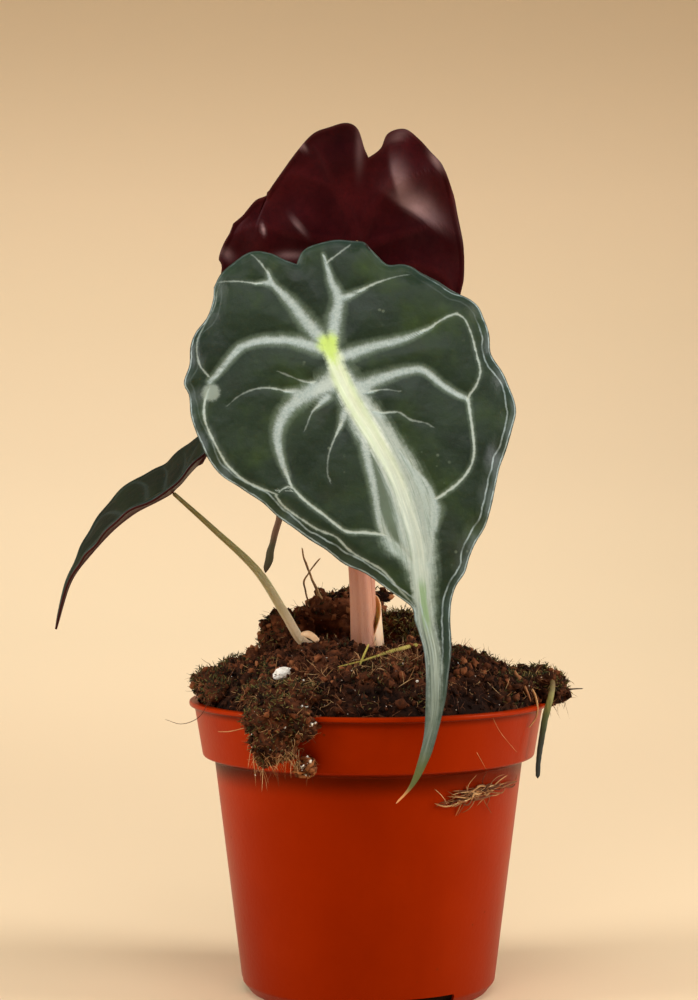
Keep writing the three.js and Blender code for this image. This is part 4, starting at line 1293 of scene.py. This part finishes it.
fineHalfVeins = [
    ([(15, -1.4), (15.4, 3), (14.8, 7.6)], 0.2, 0.2),
    ([(13.6, 12), (10.6, 17), (6.6, 22.4), (3, 27.4)], 0.2, 0.15),
]


def step(values, low, high):
    share = np.clip((values - low) / (high - low), 0, 1)
    return share * share * (3 - 2 * share)


def mirrored(points):
    return [(-across, down) for across, down in points]


leftLeaf["leftLobe"] = mirrored(leftLeaf["rightLobe"])
leftLeaf["leftMargin"] = mirrored(leftLeaf["rightMargin"])
leftLeaf["veins"] = halfVeins + [(mirrored(points), *halves) for points, *halves in halfVeins]
leftLeaf["fineVeins"] = fineHalfVeins + [(mirrored(points), *halves) for points, *halves in fineHalfVeins]
leftLeaf["marginLines"] = [(0.3, 0.1)]


def halfBlade(leaf, side, out, along):
    # place on the half between the midrib and one margin; past the widest part both are read at one height
    inner = Route([leaf["sinus"], *leaf["midrib"], leaf["tip"]])
    lobe = Route([leaf["sinus"], *leaf[side + "Lobe"]])
    outer = Route([leaf[side + "Lobe"][-1], *leaf[side + "Margin"], leaf["tip"]])
    middle = inner.at(along)
    level = np.interp(middle[:, 1], outer.places[:, 1], outer.reach / outer.reach[-1])
    share = along + (level - along) * step(along, 0.15, 0.5)
    out, along = out[:, None], along[:, None]
    bulge = lobe.at(out[:, 0]) - inner.at(0) * (1 - out) - outer.at(0) * out
    return middle * (1 - out) + outer.at(share) * out + bulge * (1 - along) ** 2


def nearCurve(flat, points, widths, reach=9):
    # for each place within reach: distance to the curve, its side, length along it and the half-width there
    route = smoothed(points, 5)
    gap = np.full(len(flat), 99.0)
    side, length, half = np.ones(len(flat)), np.zeros(len(flat)), np.full(len(flat), 0.1)
    low, high = route.min(0) - reach, route.max(0) + reach
    near = np.flatnonzero(((flat > low) & (flat < high)).all(1))
    run = np.diff(route, axis=0)
    size = np.linalg.norm(run, axis=1)
    share = (flat[near, None] - route[:-1]) * run
    share = np.clip(share.sum(2) / size ** 2, 0, 1)
    away = flat[near, None] - route[:-1] - share[..., None] * run
    far = np.linalg.norm(away, axis=2)
    best = far.argmin(1)
    row = np.arange(len(near))
    away, share, run = away[row, best], share[row, best], run[best]
    gap[near] = far[row, best]
    side[near] = np.where(run[:, 0] * away[:, 1] > run[:, 1] * away[:, 0], 1, -1)
    reached = np.append(0, np.cumsum(size))
    length[near] = reached[best] + share * size[best]
    marks = reached[::5] if len(widths) == len(points) else np.linspace(0, reached[-1], len(widths))
    half[near] = np.interp(length[near], marks, widths)
    return gap, side, length, half


def leafFields(leaf, flat):
    # the blade's pattern, in mm: broad veins by the distance past their edge, fine ones by their signed
    # distance
    fields = {}
    ribLine = [*leaf["midrib"], leaf["tip"]]
    gap, side, length, half = nearCurve(flat, ribLine, leaf["bandHalf"], 60)
    fields["rib"], fields["ribSide"], fields["ribAlong"], fields["ribHalf"] = gap, gap * side, length, half
    band = gap - half
    vein, along, wide = np.full(len(flat), 99.0), length, np.full(len(flat), 0.5)
    for order, (points, *halves) in enumerate(leaf["veins"]):
        gap, side, length, half = nearCurve(flat, points, halves)
        nearer = gap - half < vein
        vein = np.where(nearer, gap - half, vein)
        along = np.where(nearer, length + 40 * order, along)
        wide = np.where(nearer, half, wide)
    fields["vein"], fields["veinAlong"], fields["veinHalf"] = vein, along, wide
    fields["broad"] = np.minimum(vein, band)
    fine, fineSide, fineHalf = np.full(len(flat), 99.0), np.full(len(flat), 99.0), np.full(len(flat), 0.1)
    for points, *halves in leaf["fineVeins"]:
        gap, side, length, half = nearCurve(flat, points, halves, 6)
        nearer = gap < fine
        fine = np.where(nearer, gap, fine)
        fineSide = np.where(nearer, gap * side, fineSide)
        fineHalf = np.where(nearer, half, fineHalf)
    fields["fine"], fields["fineSide"], fields["fineHalf"] = fine, fineSide, fineHalf
    for name in ("veil", "parting"):
        fields[name] = np.full(len(flat), 99.0)
        for points, *halves in leaf.get(name, []):
            gap, side, length, half = nearCurve(flat, points, halves)
            fields[name] = np.minimum(fields[name], gap - half)
    # painted highlights: soft pale patches, each stretched round its middle
    fields["bloom"] = np.zeros(len(flat))
    for x, y, turn, reach, left, right, strength in leaf.get("bloom", []):
        turn = math.radians(turn)
        away = flat - (x, y)
        length = away @ (math.cos(turn), math.sin(turn))
        gap = away @ (-math.sin(turn), math.cos(turn))
        width = np.where(gap < 0, left, right)
        fields["bloom"] += strength * np.exp(-(length / reach) ** 2 - (gap / width) ** 2)
    # 0 on the lobes beside the notch and 1 on the flanks
    fields["flank"] = step(flat[:, 1], -17, -9)
    outline = []
    for side, turn in (("left", 1), ("right", -1)):
        line = [leaf["sinus"], *leaf[side + "Lobe"], *leaf[side + "Margin"], leaf["tip"]]
        dense = Route(line)
        outline.append(dense.at(np.linspace(0, 1, int(dense.reach[-1] / 0.1))))
    tree = treeOf([(across, down, 0) for across, down in np.vstack(outline)])
    found = [tree.find((across, down, 0)) for across, down in flat]
    fields["rim"] = np.array([far for near, i, far in found])
    fields["rimAlong"] = np.array([i * 0.1 for near, i, far in found])
    if "scar" in leaf:
        fields["scar"] = np.linalg.norm(flat - leaf["scar"], axis=1)
    return fields


def leafRelief(leaf, fields, flat):
    # height over the plain blade, in mm: pads between sunken veins, and a wavy edge that rolls back
    pads = leaf["quilt"] * (1 - np.exp(-np.maximum(fields["broad"], 0) / 3.5))
    pads -= 0.18 * (1 - step(np.abs(fields["fine"]), 0, 1.2))
    pads += leaf["quilt"] * 0.3 * rough(np.column_stack([flat / (1, 1.4), 0 * flat[:, 0]]), 8, 2)
    pads *= step(fields["rim"], 0, 5)
    groove = -0.3 * (1 - step(fields["rib"], 0, 1.6))
    edge = 1 - step(fields["rim"], 0, 5)
    waves = leaf["wave"] * np.sin(fields["rimAlong"] / 1.9) * np.sin(fields["rimAlong"] / 5.3 + 1) * edge
    roll = -0.5 * (1 - step(fields["rim"], 0, 1.3))
    wide = 1 - step(fields["ribAlong"], leaf["narrowFrom"], leaf["narrowFrom"] * 1.4)
    folds = sum(height * np.exp(-((flat - middle) ** 2).sum(1) / reach ** 2)
                for *middle, reach, height in leaf.get("folds", []))
    return (pads + waves) * wide + groove * (0.4 + 0.6 * wide) + roll * wide + folds


bladeThickness = 0.5


def layLeaf(name, leaf, lift, paints, node, flip):
    bm = bmesh.new()
    bmesh.ops.create_grid(bm, x_segments=leaf["grid"][0], y_segments=leaf["grid"][1], size=1)
    if flip:
        bmesh.ops.reverse_faces(bm, faces=bm.faces)
    mesh = bpy.data.meshes.new(name)
    bm.to_mesh(mesh)
    bm.free()
    spots = np.zeros(len(mesh.vertices) * 3)
    mesh.vertices.foreach_get("co", spots)
    across, down = spots.reshape(-1, 3)[:, 0], (spots.reshape(-1, 3)[:, 1] + 1) / 2
    down = down ** 0.97
    out = np.abs(across)
    left, right = (halfBlade(leaf, side, out, down) for side in ("left", "right"))
    flat = np.where((across < 0)[:, None], left, right)
    fields = leafFields(leaf, flat)
    base, normal = lift(flat, out, down)
    places = base + normal * leafRelief(leaf, fields, flat)[:, None]
    mesh.vertices.foreach_set("co", (places * mm).ravel())
    for field, values in fields.items():
        giveField(mesh, field, values)
    body = makePiece(name, mesh, paints, "leaf", node).modifiers.new("thickness", "SOLIDIFY")
    body.thickness = bladeThickness * mm
    body.offset = -1
    body.material_offset = 1
    body.material_offset_rim = 1


def hangingLift(leaf, facing):
    # a blade that hangs from its joint, facing -1 to the front or 1 to the back
    def lift(flat, out, down):
        x, y, z = leaf["joint"]
        drop = flat[:, 1]
        depth = y + leaf["lean"] * drop + leaf["arch"] * drop ** 2 + leaf["curl"] * out ** 2 * (1 - down)
        base = np.stack([x + flat[:, 0], depth, z - drop], axis=1)
        slope = leaf["lean"] + 2 * leaf["arch"] * drop
        normal = unit(np.stack([0 * drop, facing + 0 * drop, facing * slope], axis=1))
        return base, normal
    return lift


def archedLift(leaf):
    # a blade folded along its arching keel, with its top side up
    def lift(flat, out, down):
        keel = Route(leaf["keel"])
        share = np.clip((flat[:, 1] - leaf["keelStart"]) / (leaf["tip"][1] - leaf["keelStart"]), 0, 1)
        tangent = unit(keel.at(np.minimum(share + 0.01, 1)) - keel.at(np.maximum(share - 0.01, 0)))
        normal = np.stack([tangent[:, 2], 0 * share, -tangent[:, 0]], axis=1)
        rise = leaf["tilt"] * flat[:, 0] + leaf["fold"] * np.abs(flat[:, 0])
        base = keel.at(share) + normal * rise[:, None]
        base[:, 1] += flat[:, 0]
        return base, normal
    return lift


def silverMasks(paint):
    # how silver the blade is: on its veins, on the midrib's band, on the veil beside it, on the fine veins
    # and around them all
    vein, along, wide = paint.field("vein"), paint.field("veinAlong"), paint.field("veinHalf")
    soft = paint.noise(paint.place(), 620, 3, 0.7)
    barbs = paint.noise(paint.join(along * 3.4, vein * 0.8), 1, 3, 0.75)
    fray = ((barbs - 0.5) * 1.1 + (soft - 0.5) * 1.1) * (wide * 0.8 + 0.03)
    veins = (vein - fray).rise(wide * -0.7 - 0.05, wide * 0.3 + 0.1, 1, 0)
    haze = (vein - fray).rise(0, wide + 0.5, 0.3, 0)
    side, ribAlong, half = paint.field("rib"), paint.field("ribAlong"), paint.field("ribHalf")
    strands = paint.noise(paint.join(side * 1.6, ribAlong * 0.12), 1, 3, 0.7)
    shift = (strands - 0.5) * 1.4 + (soft - 0.5) * 1.8
    parting = (paint.field("parting") + (strands - 0.5) * 2).rise(-0.7, 0.7, 0.95, 0)
    band = (side - half - shift).rise(-1, 0.6, 1, 0)
    veil = (paint.field("veil") - shift).rise(-1.1, 0.7, 0.85, 0) * (1 - parting)
    haze = haze.atLeast((paint.field("veil") - shift).rise(-0.4, 1.8, 0.35, 0))
    fine, near, thinHalf = abs(paint.field("fineSide")), paint.field("fine"), paint.field("fineHalf")
    thin = (fine - thinHalf * 0.5 - (soft - 0.5) * 0.7).rise(-0.15, 0.28, 1, 0)
    thin = thin * (near - thinHalf).rise(0.3, 0.8, 1, 0) * thinHalf.rise(0.05, 0.35, 0.35, 1)
    haze = haze.atLeast((near - thinHalf * 0.6 - (soft - 0.5)).rise(0, 0.9, 0.3, 0) * thinHalf.rise(0.1, 0.5))
    return veins, band, veil, thin, haze


def marginMask(paint, leaf):
    # pale lines that run beside the edge of the flanks and fade towards the tip
    rim, along, ribAlong = paint.field("rim"), paint.field("rimAlong"), paint.field("ribAlong")
    total = None
    for order, (place, half) in enumerate(leaf["marginLines"]):
        sway = paint.noise(paint.join(along * 0.09, order * 7), 1, 2, 0.5)
        shake = paint.noise(paint.join(along * 0.7, order * 11), 1, 2, 0.5)
        fade = paint.noise(paint.join(along * 0.35, order * 3 + 20), 1, 2).rise(0.35, 0.6, 0.35, 1)
        shifted = rim - place - (sway - 0.5) * (0.2 + 1.6 * place) - (shake - 0.5) * 0.35
        line = abs(shifted).rise(half * 0.4, half * 1.9, 1, 0) * fade
        if order:
            line = line * ribAlong.rise(4, 22, 0.12, 0.9)
        total = line if total is None else total.atLeast(line)
    tip = ribAlong.rise(leaf["narrowFrom"] * 1.3, leaf["narrowFrom"] * 1.7, 1, 0.1)
    return total * tip * paint.field("flank").rise(0, 1, 0.22, 1)


def leafTopPaint(name, leaf):
    paint = Paint(name)
    place = paint.place()
    rim, rib, ribSide, ribAlong = (paint.field(key) for key in ("rim", "rib", "ribSide", "ribAlong"))
    narrowFrom, stripeEnd = leaf["narrowFrom"], leaf["stripeEnd"]
    streaks = paint.noise(paint.join(ribSide * 1.5, ribAlong * 0.07), 1, 4, 0.7)
    veins, band, veil, fine, haze = silverMasks(paint)
    clouds = paint.noise(place, 75, 4, 0.6)
    soft = paint.noise(place, 620, 3, 0.7)
    grain = paint.noise(place, 1500, 3, 0.7)
    umber = paint.noise(place, 48, 3).rise(0.56, 0.72) * 0.4
    specks = paint.cells(place, 420).rise(0.1, 0.2, 1, 0) * paint.noise(place, 90, 1).rise(0.62, 0.68)
    green = paint.ramp(clouds, (0.3, (17, 32, 18)), (0.5, (25, 41, 21)), (0.66, (38, 55, 21)),
                       (0.8, (52, 73, 22)))
    # the leaf's shade value lays painted shade over the whole green, for a blade that lies in shade
    green = paint.coats(green, (umber, (38, 38, 30)), (leaf["shade"], (31, 31, 27)),
                        (grain.rise(0.45, 0.8, 0, 0.25), (50, 66, 42)), (specks * 0.25, (130, 142, 118)),
                        (haze * leaf["shine"], (132, 150, 128)))
    gaps = veil.atLeast(band) * streaks.rise(0.36, 0.5, 1, 0) * ribAlong.rise(12, 34) * rib.rise(0.6, 2.2)
    # past the band's end the whole narrow tip is a duller silver with fine lengthwise lines
    lines = paint.noise(paint.join(ribSide * 2.6, ribAlong * 0.05), 1, 3, 0.7)
    dull = paint.ramp(lines, (0.3, (44, 60, 50)), (0.46, (106, 120, 108)), (0.64, (158, 170, 160)))
    stripe = (rib + (streaks - 0.5) * 2 + (soft - 0.5) * 1.5 + ribAlong * 0.02 - 1.2).rise(0, 1.8, 1, 0)
    stripe = stripe * ribAlong.rise(stripeEnd * 0.3, stripeEnd * 1.1, 1, 0.12)
    yellowish = paint.mix(rib.rise(0, 1.8), (220, 231, 192), (203, 222, 158))
    dashes = (rib + (streaks - 0.5) * 2 - 0.4).rise(0, 0.6, 1, 0)
    dashes = dashes * ribAlong.rise(narrowFrom * 1.12, narrowFrom * 1.2)
    dashes = dashes * ribAlong.rise(narrowFrom * 1.3, narrowFrom * 1.42, 1, 0)
    joint = (rib + ribAlong * 0.5 + (clouds - 0.5) * 3 + (grain - 0.5) * 1.5).rise(0.9, 3.8, 1, 0)
    silver = paint.mix(grain.rise(0.3, 0.7), (146, 161, 155), (168, 181, 176))
    silver = paint.coats(silver, (band.atLeast(veil) * 0.5, (187, 198, 187)),
                         (band * streaks.rise(0.46, 0.62, 0.25, 0.8), (215, 223, 207)),
                         (gaps * 0.6, (98, 118, 94)), (ribAlong.rise(22, 64) * 0.5, (138, 153, 140)),
                         (ribAlong.rise(narrowFrom * 1.05, narrowFrom * 1.5) * 0.9, dull),
                         (stripe * 0.55, yellowish), (dashes * 0.55, (100, 142, 66)),
                         (joint * 0.8, (184, 214, 78)))
    colour = paint.mix(veins.atLeast(band).atLeast(veil) * leaf["shine"], green, silver)
    # the blade turns olive towards its tip, whose end is dry
    colour = paint.coats(colour, (fine * 0.8 * leaf["shine"], (178, 191, 180)),
                         (rim.rise(0.1, 2.2, 0.4, 0), (42, 62, 56)),
                         (marginMask(paint, leaf) * min(0.78, leaf["gleam"] * 4), (152, 168, 166)),
                         (rim.rise(0.02, 0.2, 0.6, 0), (60, 58, 48)),
                         (ribAlong.rise(narrowFrom * 1.45, narrowFrom * 1.9, 0, 0.5), (58, 72, 54)),
                         (ribAlong.rise(narrowFrom * 1.86, narrowFrom * 2.02, 0, 0.85), (84, 90, 38)),
                         (ribAlong.rise(narrowFrom * 2.06, narrowFrom * 2.14), (206, 140, 86)))
    if "scar" in leaf:
        scar = (paint.field("scar") + (clouds - 0.5) * 2 + (grain - 0.5) * 1.2).rise(1.4, 2.5, 1, 0)
        colour = paint.mix(scar * 0.7, colour, (146, 158, 144))
    leather = paint.cells(place, 520, "SMOOTH_F1")
    normal = paint.bump(grain * 0.5 + leather + veins * -0.6 + fine * -0.5, 0.00012)
    gloss = clouds.rise(0.3, 0.7, 0.4, 0.5) + veins * 0.15 + grain * 0.1
    return paint.surface(Base_Color=colour, Roughness=gloss, Normal=normal, Specular_IOR_Level=leaf["gleam"])


def leafUnderPaint():
    # wine-coloured underside with raised, slightly redder veins, and painted highlights where the back leaf
    # bulges
    paint = Paint("wineUnderside")
    place = paint.place()
    rim, ribAlong = paint.field("rim"), paint.field("ribAlong")
    clouds = paint.noise(place, 60, 4, 0.6)
    grain = paint.noise(place, 1200, 3, 0.7)
    veins = (paint.field("broad") - (grain - 0.5) * 0.6).rise(-0.6, 0.5, 1, 0)
    lines = abs(paint.field("fineSide")).rise(0.1, 0.5, 1, 0) * paint.field("fine").rise(0.6, 1, 1, 0)
    # painted highlight: pale pink patches laid over the wine colour
    bloom = paint.field("bloom") * (paint.noise(place, 260, 4, 0.6) * 0.6 + 0.7)
    colour = paint.ramp(clouds, (0.3, (36, 5, 9)), (0.55, (51, 9, 13)), (0.75, (68, 15, 18)))
    # the last three are a pink stalk-like end that opens into an olive tip
    colour = paint.coats(colour, (veins * 0.25, (72, 20, 22)), (lines * 0.2, (72, 22, 22)),
                         (grain.rise(0.4, 0.8, 0, 0.35), (18, 6, 8)),
                         (rim.rise(0.1, 0.6, 0.35, 0), (66, 34, 26)),
                         (bloom.upTo(0.9), (182, 148, 150)), (ribAlong.rise(60, 70), (98, 74, 58)),
                         (ribAlong.rise(77, 81), (74, 70, 52)), (ribAlong.rise(84, 90), (66, 46, 36)))
    net = paint.cells(place, 620, "SMOOTH_F1")
    normal = paint.bump(net + grain * 0.5 + veins * 0.8 + lines * 0.4, 0.00009)
    gloss = clouds.rise(0.3, 0.7, 0.38, 0.48) + grain * 0.08
    return paint.surface(Base_Color=colour, Roughness=gloss, Normal=normal, Specular_IOR_Level=0.05)


wine = leafUnderPaint()
for name, leaf, lift, node, flip in (("frontLeaf", frontLeaf, hangingLift(frontLeaf, -1), "front_leaf", True),
                                     ("backLeaf", backLeaf, hangingLift(backLeaf, 1), "back_leaf", False),
                                     ("leftLeaf", leftLeaf, archedLift(leftLeaf), "left_leaf", False)):
    layLeaf(name, leaf, lift, [leafTopPaint(name + "Top", leaf), wine], node, flip)
print("leaves laid")
